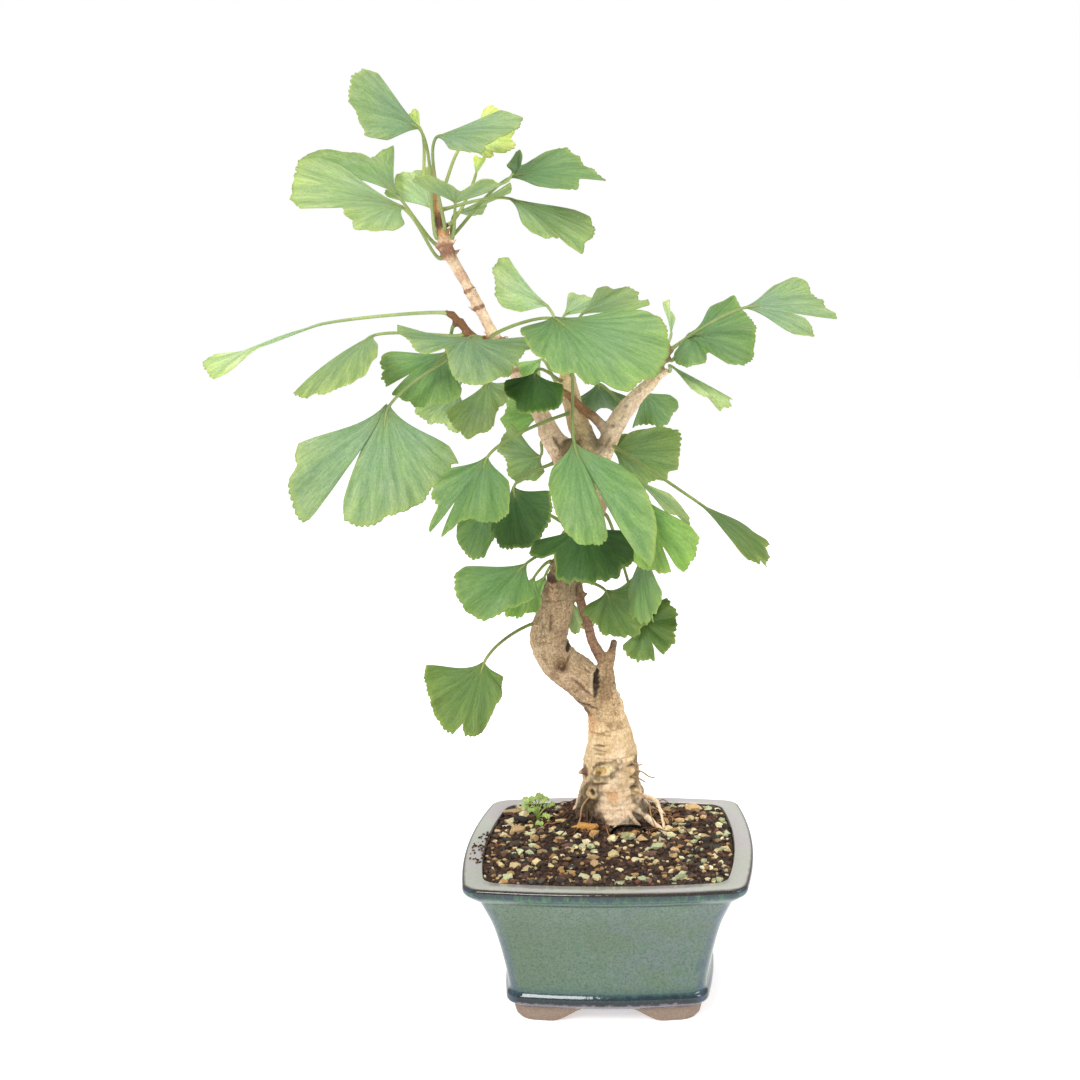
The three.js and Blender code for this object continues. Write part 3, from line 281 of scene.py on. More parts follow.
        Tone.MID, outline=((-50, 0.64), (-34, 0.72), (-20, 0.76), (-15, 0.93), (-7, 1.08), (4, 1.11),
            (21, 1.1), (38, 1.02), (46, 0.85))),
    "low_3": Leaf("lower", 0.66, (-1, -0.3, 0.2), (-38, 6, 219), (-48, -10, 200), 40, (40, 40), Tone.GLOW,
        cup=40),
    "low_4": Leaf("lower", 0.66, (-0.5, 1, 0.3), (-35, 31, 215), (-42, 37, 193), 10, (42, 42), Tone.GLOW),
    "low_5": Leaf("lower", 0.6, (0.7, 1, 0), (-21, 33, 200), (-19, 38, 182), 0, (44, 44), Tone.MILKY),
    "low_6": Leaf("thin", 1, (1, -0.6, -0.1), (-2, 10, 211), (13, 3, 187), 20, (84, 80), Tone.OLIVE,
        reach=(0.65, 1), bend=24),
    "low_7": Leaf("lower", 0.93, (1, -0.6, -0.6), (18, -14, 238), (21, -25, 200), 68, (48, 48), Tone.LIT),
    "low_8": Leaf("lower", 0.82, (1, 0.5, -0.2), (17, 8, 195), (31, -3, 182), 10, (84, 84), Tone.OLIVE,
        clefts=((18, 0.45, 9),), bend=10),
    "low_9": Leaf("lower", 0.43, (-1, -0.6, -0.35), (-62, -20, 180), (-76, -28, 142), -25, (70, 68),
        Tone.OLIVE, bend=24, outline=((-68, 0.32), (-53, 0.43), (-34, 0.56), (-25, 0.76), (-19, 0.92),
            (-6, 0.96), (1, 0.8), (4, 0.98), (13, 0.96), (28, 0.87), (50, 0.81), (70, 0.78))),
}

OUTER = (  # (height, half width at mid-side, bow, rounding) up the glazed outside
    (9, 52, 3, 0.5), (11.4, 54.4, 3.1, 0.9), (14.8, 54.4, 3.1, 0.9), (17, 52.8, 3, 1.2), (28, 54.4, 3, 4),
    (41, 57.2, 3.2, 6), (53, 60.6, 3.6, 5), (62, 64.6, 4, 4), (69, 68, 4.5, 0.4), (70, 70.4, 4.6, 0.5),
    (74, 74.6, 4.8, 1.6), (76.6, 75, 4.8, 0.9), (78.1, 74.3, 4.8, 0.8), (78.46, 72.7, 4.7, 0.8),
)
INNER = (  # the same, down the inside from the rim's flat
    (78.5, 65.4, 4.2, 0.6), (77.2, 64.4, 4.2, 0.6), (62, 60, 3.8, 4), (45, 53.8, 3.2, 4),
    (28, 49.8, 3, 3), (15, 46.5, 2.8, 1.5),
)
FLARE = (  # (height, radius, strength of the root lobes) of the trunk's foot
    (44, 12, 0), (58, 16, 0.4), (74.4, 19, 1), (80.4, 18.4, 1), (85, 17.4, 0.6), (91, 16.6, 0.3),
    (100, 15.2, 0.1),
)
LOBES = (  # root lobes: (direction in degrees, share of radius, width in degrees)
    (-80, 0.1, 26), (-150, 0.46, 18), (165, 0.36, 20), (-28, 0.5, 16), (20, 0.4, 18), (95, 0.3, 30),
)


# ---------------------------------------------------------------- meshes


def plan_centre() -> Vector:
    """The pot's centre on the ground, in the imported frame, in metres."""
    low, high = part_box("pot")
    return Vector(((low.x + high.x) / 2, (low.y + high.y) / 2, 0.0))


PLACE = Matrix.Translation(plan_centre()) @ Matrix.Scale(MM, 4)


def coordinates(mesh: bpy.types.Mesh) -> np.ndarray:
    """The mesh's points as an array of three columns."""
    flat = np.empty(3 * len(mesh.vertices), np.float32)
    mesh.vertices.foreach_get("co", flat)
    return flat.reshape(-1, 3).astype(float)


def normals(mesh: bpy.types.Mesh) -> np.ndarray:
    """The mesh's point normals as an array of three columns."""
    flat = np.empty(3 * len(mesh.vertices), np.float32)
    mesh.vertex_normals.foreach_get("vector", flat)
    return flat.reshape(-1, 3).astype(float)


def move_points(mesh: bpy.types.Mesh, points: np.ndarray) -> None:
    """Moves each point of the mesh to a row of the array."""
    mesh.vertices.foreach_set("co", points.astype(np.float32).ravel())
    mesh.update()


def put_vectors(mesh: bpy.types.Mesh, name: str, rows: Sequence[float] | np.ndarray) -> None:
    """Stores a vector for each point, or one for all of them, for the materials to read."""
    layer = mesh.attributes.get(name) or mesh.attributes.new(name, "FLOAT_VECTOR", "POINT")
    every = np.broadcast_to(np.asarray(rows, np.float32), (len(mesh.vertices), 3))
    layer.data.foreach_set("vector", every.ravel())


@contextmanager
def edited(mesh: bpy.types.Mesh) -> Iterator[bmesh.types.BMesh]:
    """The mesh as a bmesh, which is written back and freed at the end."""
    bm = bmesh.new()
    bm.from_mesh(mesh)
    yield bm
    bm.to_mesh(mesh)
    bm.free()


def new_mesh(name: str, bm: bmesh.types.BMesh) -> bpy.types.Mesh:
    """A new mesh of a bmesh, which is then freed."""
    mesh = bpy.data.meshes.new(name)
    bm.to_mesh(mesh)
    bm.free()
    return mesh


def unit_grid(name: str, columns: int, rows: int) -> bpy.types.Mesh:
    """A flat grid from (0, 0) to (1, 1), to be moved into shape.

    Args:
        name: the mesh's name.
        columns: its faces along x.
        rows: its faces along y.

    Returns:
        The new mesh.
    """
    bm = bmesh.new()
    middle = Matrix.Translation((0.5, 0.5, 0.0))
    bmesh.ops.create_grid(bm, x_segments=columns, y_segments=rows, size=0.5, matrix=middle)
    return new_mesh(name, bm)


def round_grid(name: str, columns: int, rows: int) -> tuple[bpy.types.Mesh, np.ndarray, np.ndarray]:
    """A grid to be wrapped round an axis, with each point's share of the way round and its row."""
    mesh = unit_grid(name, columns, rows)
    flat = coordinates(mesh)
    return mesh, flat[:, 0], np.rint(flat[:, 1] * rows).astype(int)


def weld(mesh: bpy.types.Mesh) -> None:
    """Closes the seams and poles of a wrapped grid and turns its faces outwards."""
    with edited(mesh) as bm:
        bmesh.ops.remove_doubles(bm, verts=bm.verts, dist=WELD)
        bmesh.ops.recalc_face_normals(bm, faces=bm.faces)


def thicken(mesh: bpy.types.Mesh, thick: float) -> None:
    """Turns an open sheet into a closed one, with a copy of it moved along its own normals.

    Args:
        mesh: the sheet.
        thick: how far the copy is moved.
    """
    with edited(mesh) as bm:
        bm.normal_update()
        grown = bmesh.ops.extrude_face_region(bm, geom=bm.faces[:], use_keep_orig=True)["geom"]
        for vert in [part for part in grown if isinstance(part, bmesh.types.BMVert)]:
            vert.co -= vert.normal * thick
        bmesh.ops.recalc_face_normals(bm, faces=bm.faces)


def join(name: str, meshes: Iterable[bpy.types.Mesh]) -> bpy.types.Mesh:
    """Joins meshes into a new one and removes them.

    Args:
        name: the new mesh's name.
        meshes: the meshes, which all carry the same attributes.

    Returns:
        The joined mesh.
    """
    bm = bmesh.new()
    for mesh in meshes:
        bm.from_mesh(mesh)
        bpy.data.meshes.remove(mesh)
    return new_mesh(name, bm)


def unit(vectors: np.ndarray) -> np.ndarray:
    """The vectors, each scaled to length 1."""
    return vectors / np.maximum(np.linalg.norm(vectors, axis=-1, keepdims=True), 1e-9)


END_CAP = ((0.75, 0.0), (0.6, 0.62), (0.3, 0.9))  # a round end: (how far out, how wide), in radii
SKEW = (0.31, 0.22, 0.93)  # a direction that no tube starts in


def tube(name: str, path: np.ndarray, radii: np.ndarray, sides: int) -> bpy.types.Mesh:
    """A closed tube with rounded ends along a path.

    Args:
        name: the mesh's name.
        path: the points of its axis, one a row.
        radii: its radius at each of them.
        sides: how many faces go round it.

    Returns:
        The new mesh.
    """
    ends = unit(np.array([path[0] - path[1], path[-1] - path[-2]]))
    caps = np.array(END_CAP)
    first = path[0] + caps[:, :1] * radii[0] * ends[0]
    last = path[-1] + caps[::-1, :1] * radii[-1] * ends[1]
    axis = np.vstack([first, path, last])
    width = np.concatenate([caps[:, 1] * radii[0], radii, caps[::-1, 1] * radii[-1]])
    tangents = unit(np.gradient(axis, axis=0))
    side = np.zeros_like(axis)
    across = np.cross(tangents[0], SKEW)
    for i, tangent in enumerate(tangents):
        across = unit(across - tangent * across.dot(tangent))
        side[i] = across
    other = np.cross(tangents, side)
    mesh, around, row = round_grid(name, sides, len(axis) - 1)
    angle = math.tau * around
    out = side[row] * np.cos(angle)[:, None] + other[row] * np.sin(angle)[:, None]
    move_points(mesh, axis[row] + out * width[row][:, None])
    weld(mesh)
    return mesh


class Path:
    """A smooth curve through a limb's points, spaced as the solids' tubes are."""

    def __init__(self, points: Sequence[Sequence[float]]) -> None:
        """Keeps the points and the radii.

        Args:
            points: rows of x, y, z and a radius.
        """
        rows = np.array(points, float)
        self.points = rows[:, :3]
        self.radii = rows[:, 3]
        self.last = len(rows) - 1

    def at(self, places: np.ndarray) -> np.ndarray:
        """Points of the curve.

        Args:
            places: shares of the way along, from 0 to 1.

        Returns:
            One point a row.
        """
        p = self.points
        known = np.vstack([2 * p[0] - p[1], p, 2 * p[-1] - p[-2]])
        along = np.clip(np.asarray(places, float), 0, 1) * self.last
        span = np.minimum(along.astype(int), self.last - 1)
        t = (along - span)[:, None]
        p0, p1, p2, p3 = (known[span + i] for i in range(4))
        steps = ((p0, p1), (p1, p2), (p2, p3))
        d0, d1, d2 = (np.sqrt(np.linalg.norm(b - a, axis=1, keepdims=True)) for a, b in steps)
        start = d1 * ((p1 - p0) / d0 - (p2 - p0) / (d0 + d1) + (p2 - p1) / d1)
        end = d1 * ((p2 - p1) / d1 - (p3 - p1) / (d1 + d2) + (p3 - p2) / d2)
        square = -3 * p1 + 3 * p2 - 2 * start - end
        cube = 2 * p1 - 2 * p2 + start + end
        return p1 + start * t + square * t**2 + cube * t**3

    def radius(self, places: np.ndarray) -> np.ndarray:
        """The limb's radius at each place."""
        return np.interp(np.asarray(places, float) * self.last, np.arange(self.last + 1), self.radii)

    def tangent(self, place: float) -> np.ndarray:
        """The curve's direction at one place."""
        step = 1e-4
        before, after = self.at(np.array([place - step, place + step]))
        return unit(after - before)


def limb_tube(name: str, limb: Limb, steps: int, sides: int) -> bpy.types.Mesh:
    """A closed tube along a limb's smooth curve, with the limb's own radii."""
    path = Path(limb)
    places = np.linspace(0, 1, steps)
    return tube(name, path.at(places), path.radius(places), sides)


def bezier(corners: Sequence[np.ndarray], count: int) -> np.ndarray:
    """Points of a cubic curve from its four corners, one a row."""
    t = np.linspace(0, 1, count)[:, None]
    a, b, c, d = corners
    return a * (1 - t) ** 3 + 3 * b * t * (1 - t) ** 2 + 3 * c * t**2 * (1 - t) + d * t**3


def add_piece(name: str, mesh: bpy.types.Mesh, finishes: Sequence[bpy.types.Material],
              replaces: Sequence[str] = (), crease: float = 180.0) -> bpy.types.Object:
    """Places a finished mesh into the frame as one piece of the plant.

    Args:
        name: the piece's name.
        mesh: its mesh, in the plan's millimetres.
        finishes: its materials.
        replaces: the solids that it stands for.
        crease: the angle, in degrees, from which an edge shows as sharp.

    Returns:
        The new object.
    """
    mesh.transform(PLACE)
    mesh.shade_smooth()
    if crease < 180:
        mesh.set_sharp_from_angle(angle=math.radians(crease))
    for finish in finishes:
        mesh.materials.append(finish)
    piece = bpy.data.objects.new(name, mesh)
    bpy.context.scene.collection.objects.link(piece)
    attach(piece, BODY)
    if replaces:
        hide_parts(*replaces)
    LOG.info("%s: %d faces", name, len(mesh.polygons))
    return piece


# ---------------------------------------------------------------- finishes

Rgb = tuple[float, float, float]
Tree = bpy.types.NodeTree
Feed = bpy.types.Node | bpy.types.NodeSocket | float | Sequence[float]

BLEND = {"data_type": "RGBA"}
DYE = {"data_type": "RGBA", "blend_type": "MULTIPLY"}
EVEN = (3.0, 0.55)  # detail and roughness of a pattern of like spots


def linear(hex_colour: str) -> Rgb:
    """The linear colour of an sRGB hex value."""
    parts = (int(hex_colour[i : i + 2], 16) / 255 for i in (0, 2, 4))
    return tuple(c / 12.92 if c <= 0.04045 else ((c + 0.055) / 1.055) ** 2.4 for c in parts)


def add(tree: Tree, kind: str, *feeds: Feed, named: dict[str, Feed] | None = None,
        **settings: str) -> bpy.types.Node:
    """Adds a node with its settings and links.

    Args:
        tree: the material's node tree.
        kind: the node's type, without its "ShaderNode".
        feeds: what goes into its shown sockets, in their order: a value, a socket, or a node, which gives
            its first shown output. A colour has three values.
        named: the same for sockets that are picked by name.
        settings: the node's own properties.

    Returns:
        The new node.
    """
    node = tree.nodes.new("ShaderNode" + kind)
    for key, value in settings.items():
        setattr(node, key, value)
    shown = [socket for socket in node.inputs if socket.enabled]
    picked = [(node.inputs[key], value) for key, value in (named or {}).items()]
    for socket, value in [*zip(shown, feeds), *picked]:
        if isinstance(value, bpy.types.Node):
            value = next(output for output in value.outputs if output.enabled)
        if isinstance(value, bpy.types.NodeSocket):
            tree.links.new(value, socket)
        else:
            socket.default_value = (*value, 1.0) if socket.type == "RGBA" else value
    return node


@dataclass(frozen=True)
class Coat:
    """A thin coat over a colour, which shows where a pattern lies past a value.

    Args:
        pattern: what drives it.
        ends: the pattern's values where the coat starts and where it is full.
        strength: how much of it shows where it is full.
        tint: its sRGB hex colour.
        mask: where it may lie at all, from 0 to 1.
    """

    pattern: Feed
    ends: tuple[float, float]
    strength: float
    tint: str
    mask: Feed = 1.0


@dataclass(frozen=True)
class Shade:
    """A pattern that darkens a colour at one end and lightens it at the other.

    Args:
        pattern: what drives it.
        ends: the pattern's values where it is darkest and where it is lightest.
        dark: what the colour is multiplied by at the dark end.
        light: what it is multiplied by at the light end.
    """

    pattern: Feed
    ends: tuple[float, float]
    dark: Rgb
    light: Rgb


def coated(tree: Tree, colour: Feed, *coats: Coat) -> Feed:
    """The colour with the coats laid over it, one on the other."""
    for coat in coats:
        full = add(tree, "MapRange", coat.pattern, *coat.ends, 0.0, coat.strength)
        cover = add(tree, "Math", full, coat.mask, operation="MULTIPLY")
        colour = add(tree, "Mix", cover, colour, linear(coat.tint), **BLEND)
    return colour


def shaded(tree: Tree, colour: Feed, *shades: Shade, cover: Feed = 1.0) -> Feed:
    """The colour, darkened and lightened by each of the shades where they cover it."""
    for shade in shades:
        share = add(tree, "MapRange", shade.pattern, *shade.ends)
        factor = add(tree, "Mix", share, shade.dark, shade.light, **BLEND)
        colour = add(tree, "Mix", cover, colour, factor, **DYE)
    return colour


def attributes(tree: Tree, *names: str) -> list[bpy.types.NodeSocket]:
    """The vectors that the pieces' points carry under these names."""
    return [add(tree, "Attribute", attribute_name=name).outputs["Vector"] for name in names]


def plan_millimetres(tree: Tree) -> bpy.types.Node:
    """Object coordinates, turned into the plan's millimetres."""
    place = add(tree, "TexCoord").outputs["Object"]
    return add(tree, "Mapping", place, -plan_centre() / MM, named={"Scale": (1 / MM,) * 3})


def start_material(name: str) -> tuple[bpy.types.Material, Tree]:
    """An empty material and its node tree."""
    material = bpy.data.materials.new(name)
    material.use_nodes = True
    material.node_tree.nodes.clear()
    return material, material.node_tree


@dataclass(frozen=True)
class StonewareGlaze:
    """Reactive sage-green glaze, dipped and fired on stoneware.

    It lies pale on the flat of the rim, breaks to brown where it runs thin on the arris, and pools nearly
    black above the feet. Iron gives it olive clouds and cobalt gives it lavender ones. The feet are wiped
    bare to the clay. Heights are in millimetres above the ground, and a span's four heights are where it
    starts, is full, begins to fade and ends.
    """

    ior: float = 1.52
    gloss: float = 0.1
    clay_roughness: float = 0.85
    relief_mm: float = 0.22
    speck_mm: float = 1.1
    drip_mm: float = 2.6
    ripple_mm: float = 3.0
    run_mm: float = 4.0
    flow_mm: float = 7.0
    wipe_mm: float = 14.0
    cloud_mm: float = 30.0
    grit_mm: float = 0.9
    drift: float = 0.0022
    top_mm: float = 80.0
    stops: tuple[tuple[float, str], ...] = (
        # the lavender up to 11.7 mm is painted reflection of the pale floor on the downward-facing foot of
        # the base band
        (0.0, "7a7580"), (10.4, "77707c"), (11.7, "625b66"), (12.2, "1c141a"), (13.0, "0f1720"),
        (15.6, "142a36"), (16.8, "35504f"), (20.0, "506655"), (24.0, "556a58"), (56.0, "566857"),
        # painted shade in the groove under the rim band at 69.2 mm, and painted light along the band's lower
        # edge at 71.6 mm
        (68.2, "5f7363"), (69.2, "28332e"), (70.3, "3a4a42"), (71.6, "607a6b"), (73.2, "31504a"),
        (75.2, "203d3c"), (76.4, "1c2628"), (77.0, "241714"), (78.0, "2b1d18"), (78.28, "4a3a33"),
        (78.4, "9a938a"), (78.44, "b4b6aa"), (80.0, "b8b9b0"),
    )
    wall_mm: tuple[float, ...] = (16.0, 24.0, 70.0, 77.0)
    band_mm: tuple[float, ...] = (71.5, 73.5, 76.0, 77.0)
    bare_mm: tuple[float, float] = (9.0, 8.6)
    iron: str = "4c6042"
    cobalt: str = "5f647c"
    copper: str = "3f6644"
    clay: tuple[str, str] = ("7c695c", "94806f")

    def material(self) -> bpy.types.Material:
        """The finish as a material."""
        material, tree = start_material("reactive stoneware glaze over brown clay")
        where = plan_millimetres(tree)
        height = add(tree, "SeparateXYZ", where).outputs["Z"]
        colour = self.clouded(tree, where, self.banded(tree, where, height))
        specks = add(tree, "TexNoise", where, 1 / self.speck_mm, 3.0, 0.7)
        below_rim = add(tree, "MapRange", height, 78.2, 77.6, 0.2, 1.0)
        colour = coated(tree, colour, Coat(specks, (0.5, 0.64), 0.6, "2c4133", below_rim),
                        Coat(specks, (0.46, 0.3), 0.16, "8d948f"))
        wiped = add(tree, "TexNoise", where, 1 / self.wipe_mm, *EVEN)
        wander = add(tree, "MapRange", wiped, 0.3, 0.7, -0.9, 0.9)
        line = add(tree, "Math", height, wander, operation="ADD")
        bare = add(tree, "MapRange", line, *self.bare_mm)
        grit = add(tree, "TexNoise", where, 1 / self.grit_mm, 4.0, 0.55)
        pale = add(tree, "MapRange", grit, 0.35, 0.7)
        clay = add(tree, "Mix", pale, *(linear(tint) for tint in self.clay), **BLEND)
        ripples = add(tree, "TexNoise", where, 1 / self.ripple_mm, 2.0, 0.55)
        relief = add(tree, "Mix", bare, ripples, grit, **BLEND)
        shader = add(tree, "BsdfPrincipled", named={
            "Base Color": add(tree, "Mix", bare, colour, clay, **BLEND), "IOR": self.ior,
            "Roughness": add(tree, "MapRange", bare, 0.0, 1.0, self.gloss, self.clay_roughness),
            "Normal": add(tree, "Bump", 0.5, self.relief_mm * MM, named={"Height": relief})})
        add(tree, "OutputMaterial", shader)
        return material

    def banded(self, tree: Tree, where: Feed, height: Feed) -> bpy.types.Node:
        """The glaze's colour at each height, with the bands running a little on the wall."""
        drawn = add(tree, "Mapping", where, named={"Scale": (1, 1, 1 / 4)})
        runs = add(tree, "TexNoise", drawn, 1 / self.run_mm, *EVEN)
        sway = add(tree, "MapRange", runs, 0.3, 0.7, -1.0, 1.0)
        loose = add(tree, "MapRange", height, 60.0, 68.0, 0.8, 0.04)
        wander = add(tree, "Math", sway, loose, operation="MULTIPLY")
        run_to = add(tree, "Math", height, wander, operation="ADD")
        bands = add(tree, "ValToRGB", add(tree, "Math", run_to, self.top_mm, operation="DIVIDE"))
        stops = bands.color_ramp.elements
        while len(stops) < len(self.stops):
            stops.new(1.0)
        for stop, (level, tint) in zip(stops, self.stops):
            stop.position = level / self.top_mm
            stop.color = (*linear(tint), 1.0)
        return bands

    def within(self, tree: Tree, height: Feed, span: Sequence[float]) -> bpy.types.Node:
        """1 within a span of height and 0 outside it, fading between its first and its last two."""
        rise = add(tree, "MapRange", height, span[0], span[1])
        fall = add(tree, "MapRange", height, span[3], span[2])
        return add(tree, "Math", fall, rise, operation="MULTIPLY")

    def clouded(self, tree: Tree, where: Feed, colour: Feed) -> Feed:
        """Lays olive and lavender clouds over the glaze, and green and navy runs under the rim."""
        place = add(tree, "SeparateXYZ", where)
        right, height = place.outputs["X"], place.outputs["Z"]
        drift = add(tree, "Math", right, self.drift, operation="MULTIPLY")
        clouds = add(tree, "TexNoise", where, 1 / self.cloud_mm, 3.0, 0.6)
        olive = add(tree, "Math", clouds, drift, operation="SUBTRACT")
        squat = add(tree, "Mapping", where, named={"Scale": (1, 1, 1 / 0.8)})
        others = add(tree, "TexNoise", squat, 1 / (0.8 * self.cloud_mm), 3.0, 0.6)
        lavender = add(tree, "Math", others, drift, operation="ADD")
        flow = add(tree, "TexNoise", where, 1 / self.flow_mm, 4.0, 0.65)
        tall = add(tree, "Mapping", where, named={"Scale": (1, 1, 1 / 3)})
        drips = add(tree, "TexNoise", tall, 1 / self.drip_mm, *EVEN)
        sides = [add(tree, "Math", place.outputs[axis], operation="ABSOLUTE") for axis in "XY"]
        near, far = (add(tree, "Math", *sides, operation=kind) for kind in ("MINIMUM", "MAXIMUM"))
        turn = add(tree, "Math", near, far, operation="DIVIDE")
        wear = add(tree, "MapRange", flow, 0.3, 0.7, -0.05, 0.05)
        corner = add(tree, "Math", turn, wear, operation="ADD")
        flat = add(tree, "MapRange", height, 78.3, 78.45)
        edge = add(tree, "MapRange", height, 78.2, 77.5)
        wall, band = (self.within(tree, height, span) for span in (self.wall_mm, self.band_mm))
        return coated(
            tree, colour, Coat(olive, (0.46, 0.66), 0.42, self.iron, wall),
            Coat(lavender, (0.5, 0.7), 0.26, self.cobalt, wall),
            Coat(flow, (0.52, 0.68), 0.4, self.copper, wall), Coat(clouds, (0.45, 0.6), 0.6, "b9adb4", flat),
            Coat(corner, (0.87, 1.0), 0.8, "34485e", edge), Coat(drips, (0.5, 0.66), 0.75, "3d7048", band),
            Coat(drips, (0.46, 0.34), 0.8, "1d2f42", band))


@dataclass(frozen=True)
class LeafTissue:
    """Ginkgo leaf: thin waxy tissue with fine ribs that fan out and fork from the stalk.

    Wax gives it a soft sheen, and light from behind shows through it as a warmer green. Its ribs are about
    0.5 mm apart, and drawn at twice that, because finer ones don't show.
    """

    name: str = "ginkgo leaf"
    ior: float = 1.45
    roughness: float = 0.44
    sheen: float = 0.28
    through: float = 0.26
    relief_mm: float = 0.8
    grain_mm: float = 0.9
    rib_mm: float = 1.1
    fold_mm: float = 5.5
    patch_mm: float = 12.0
    edge: str = "a8bb55"
    throat: str = "a3b070"

    def material(self) -> bpy.types.Material:
        """The finish as a material."""
        material, tree = start_material(self.name)
        where = plan_millimetres(tree)
        tint, fan = attributes(tree, "tint", "fan")
        across, reach, share = add(tree, "SeparateXYZ", fan).outputs
        patches = add(tree, "TexNoise", where, 1 / self.patch_mm, 3.0, 0.6)
        sway = add(tree, "MapRange", patches, 0.3, 0.7, -1.0, 1.0)
        bent = add(tree, "Math", across, sway, operation="ADD")
        drawn = add(tree, "Math", reach, 0.16, operation="MULTIPLY")
        ray = add(tree, "CombineXYZ", bent, drawn, sway)
        folds = add(tree, "TexNoise", ray, 1 / self.fold_mm, *EVEN)
        ribs = add(tree, "TexNoise", ray, 1 / self.rib_mm, 2.0, 0.55)
        grain = add(tree, "TexNoise", where, 1 / self.grain_mm, *EVEN)
        uneven = add(tree, "MapRange", folds, 0.3, 0.7, -0.12, 0.12)
        outward = add(tree, "Math", share, uneven, operation="ADD")
        # the folds darken the leaf in their furrows and lighten it on their crests: painted shade and painted
        # light over the fold relief
        colour = shaded(
            tree, tint, Shade(folds, (0.28, 0.72), (0.66, 0.74, 0.68), (1.18, 1.12, 1.2)),
            Shade(ribs, (0.3, 0.7), (0.84, 0.88, 0.84), (1.15, 1.11, 1.15)),
            Shade(grain, (0.3, 0.7), (0.86, 0.89, 0.84), (1.13, 1.1, 1.15)),
            Shade(patches, (0.32, 0.68), (0.96, 1.0, 0.84), (1.02, 0.99, 1.1)),
            Shade(outward, (0.5, 1.0), (0.9, 0.97, 1.03), (1.1, 1.06, 0.93)))
        colour = coated(
            tree, colour,
            Coat(share, (0.93, 1.0), 0.5, self.edge, add(tree, "MapRange", patches, 0.3, 0.6)),
            Coat(share, (0.3, 0.04), 0.35, self.throat))
        raised = add(tree, "Math", ribs, 0.5, operation="MULTIPLY")
        relief = add(tree, "Math", raised, folds, operation="ADD")
        normal = add(tree, "Bump", 0.8, self.relief_mm * MM, named={"Height": relief})
        face = add(tree, "BsdfPrincipled", named={
            "Base Color": colour, "Roughness": self.roughness, "IOR": self.ior, "Normal": normal,
            "Specular IOR Level": self.sheen})
        glow = add(tree, "Mix", 1.0, colour, (1.25, 1.3, 0.5), **DYE)
        light = add(tree, "BsdfTranslucent", glow, normal)
        add(tree, "OutputMaterial", add(tree, "MixShader", self.through, face, light))
        return material


@dataclass(frozen=True)
class Bark:
    """Ginkgo bark and wood, grown: dry and matt, faintly streaked along the limb, cracked and pitted.

    The old bark between the foot and the upper limbs is the roughest. Heights are in millimetres.
    """

    ior: float = 1.48
    roughness: float = 0.85
    relief_mm: float = 0.7
    bead_mm: float = 1.0
    fibre_mm: float = 1.1
    crack_mm: float = 1.3
    pit_mm: float = 1.5
    patch_mm: float = 9.0
    crack: str = "6b4f38"

    def material(self) -> bpy.types.Material:
        """The finish as a material."""
        material, tree = start_material("ginkgo bark")
        where = plan_millimetres(tree)
        tint, grain = attributes(tree, "tint", "grain")
        along = add(tree, "Mapping", grain, named={"Scale": (1, 1, 1 / 4)})
        fibres = add(tree, "TexNoise", along, 1 / self.fibre_mm, 4.0, 0.6)
        around = add(tree, "Mapping", grain, named={"Scale": (1 / 4, 1 / 4, 1)})
        cracks = add(tree, "TexNoise", around, 1 / self.crack_mm, 4.0, 0.6)
        patches = add(tree, "TexNoise", where, 1 / self.patch_mm, 4.0, 0.6)
        pits = add(tree, "TexNoise", where, 1 / self.pit_mm, 5.0, 0.7)
        beads = add(tree, "TexNoise", where, 1 / self.bead_mm, 2.0, 0.55)
        height = add(tree, "SeparateXYZ", where).outputs["Z"]
        low = add(tree, "MapRange", height, 126.0, 146.0, 0.3, 1.0)
        high = add(tree, "MapRange", height, 274.0, 294.0, 1.0, 0.45)
        rough = add(tree, "Math", low, high, operation="MINIMUM")
        colour = shaded(
            tree, tint, Shade(fibres, (0.32, 0.68), (0.82, 0.79, 0.75), (1.14, 1.12, 1.1)),
            Shade(patches, (0.33, 0.67), (0.82, 0.77, 0.7), (1.12, 1.14, 1.16)),
            Shade(pits, (0.32, 0.6), (0.84, 0.82, 0.78), (1.08, 1.08, 1.08)))
        beaded = Shade(beads, (0.36, 0.64), (0.7, 0.67, 0.6), (1.2, 1.2, 1.2))
        colour = shaded(tree, colour, beaded, cover=rough)
        deep = add(tree, "MapRange", pits, 0.58, 0.66, 0.0, 0.62)
        split = add(tree, "MapRange", cracks, 0.58, 0.66, 0.0, 0.68)
        open_bark = add(tree, "Math", deep, split, operation="MAXIMUM")
        dark = add(tree, "Math", open_bark, rough, operation="MULTIPLY")
        raised = add(tree, "Math", fibres, pits, operation="ADD")
        sunk = add(tree, "Math", dark, 0.8, operation="MULTIPLY")
        relief = add(tree, "Math", raised, sunk, operation="SUBTRACT")
        shader = add(tree, "BsdfPrincipled", named={
            "Base Color": add(tree, "Mix", dark, colour, linear(self.crack), **BLEND),
            "Roughness": self.roughness, "IOR": self.ior,
            "Normal": add(tree, "Bump", 0.85, self.relief_mm * MM, named={"Height": relief})})
        add(tree, "OutputMaterial", shader)
        return material


@dataclass(frozen=True)
class LooseGround:
    """Bonsai soil: crushed volcanic grit, baked clay and bark crumbs, each grain with its own tint."""

    name: str = "crushed grit and baked clay"
    ior: float = 1.5
    roughness: float = 0.9
    fleck_mm: float = 0.8
    relief_mm: float = 0.35

    def material(self) -> bpy.types.Material:
        """The finish as a material."""
        material, tree = start_material(self.name)
        (tint,) = attributes(tree, "tint")
        flecks = add(tree, "TexNoise", plan_millimetres(tree), 1 / self.fleck_mm, 4.0, 0.65)
        shade = Shade(flecks, (0.32, 0.68), (0.62, 0.6, 0.58), (1.22, 1.2, 1.16))
        shader = add(tree, "BsdfPrincipled", named={
            "Base Color": shaded(tree, tint, shade), "Roughness": self.roughness, "IOR": self.ior,
            "Normal": add(tree, "Bump", 0.8, self.relief_mm * MM, named={"Height": flecks})})
        add(tree, "OutputMaterial", shader)
        return material


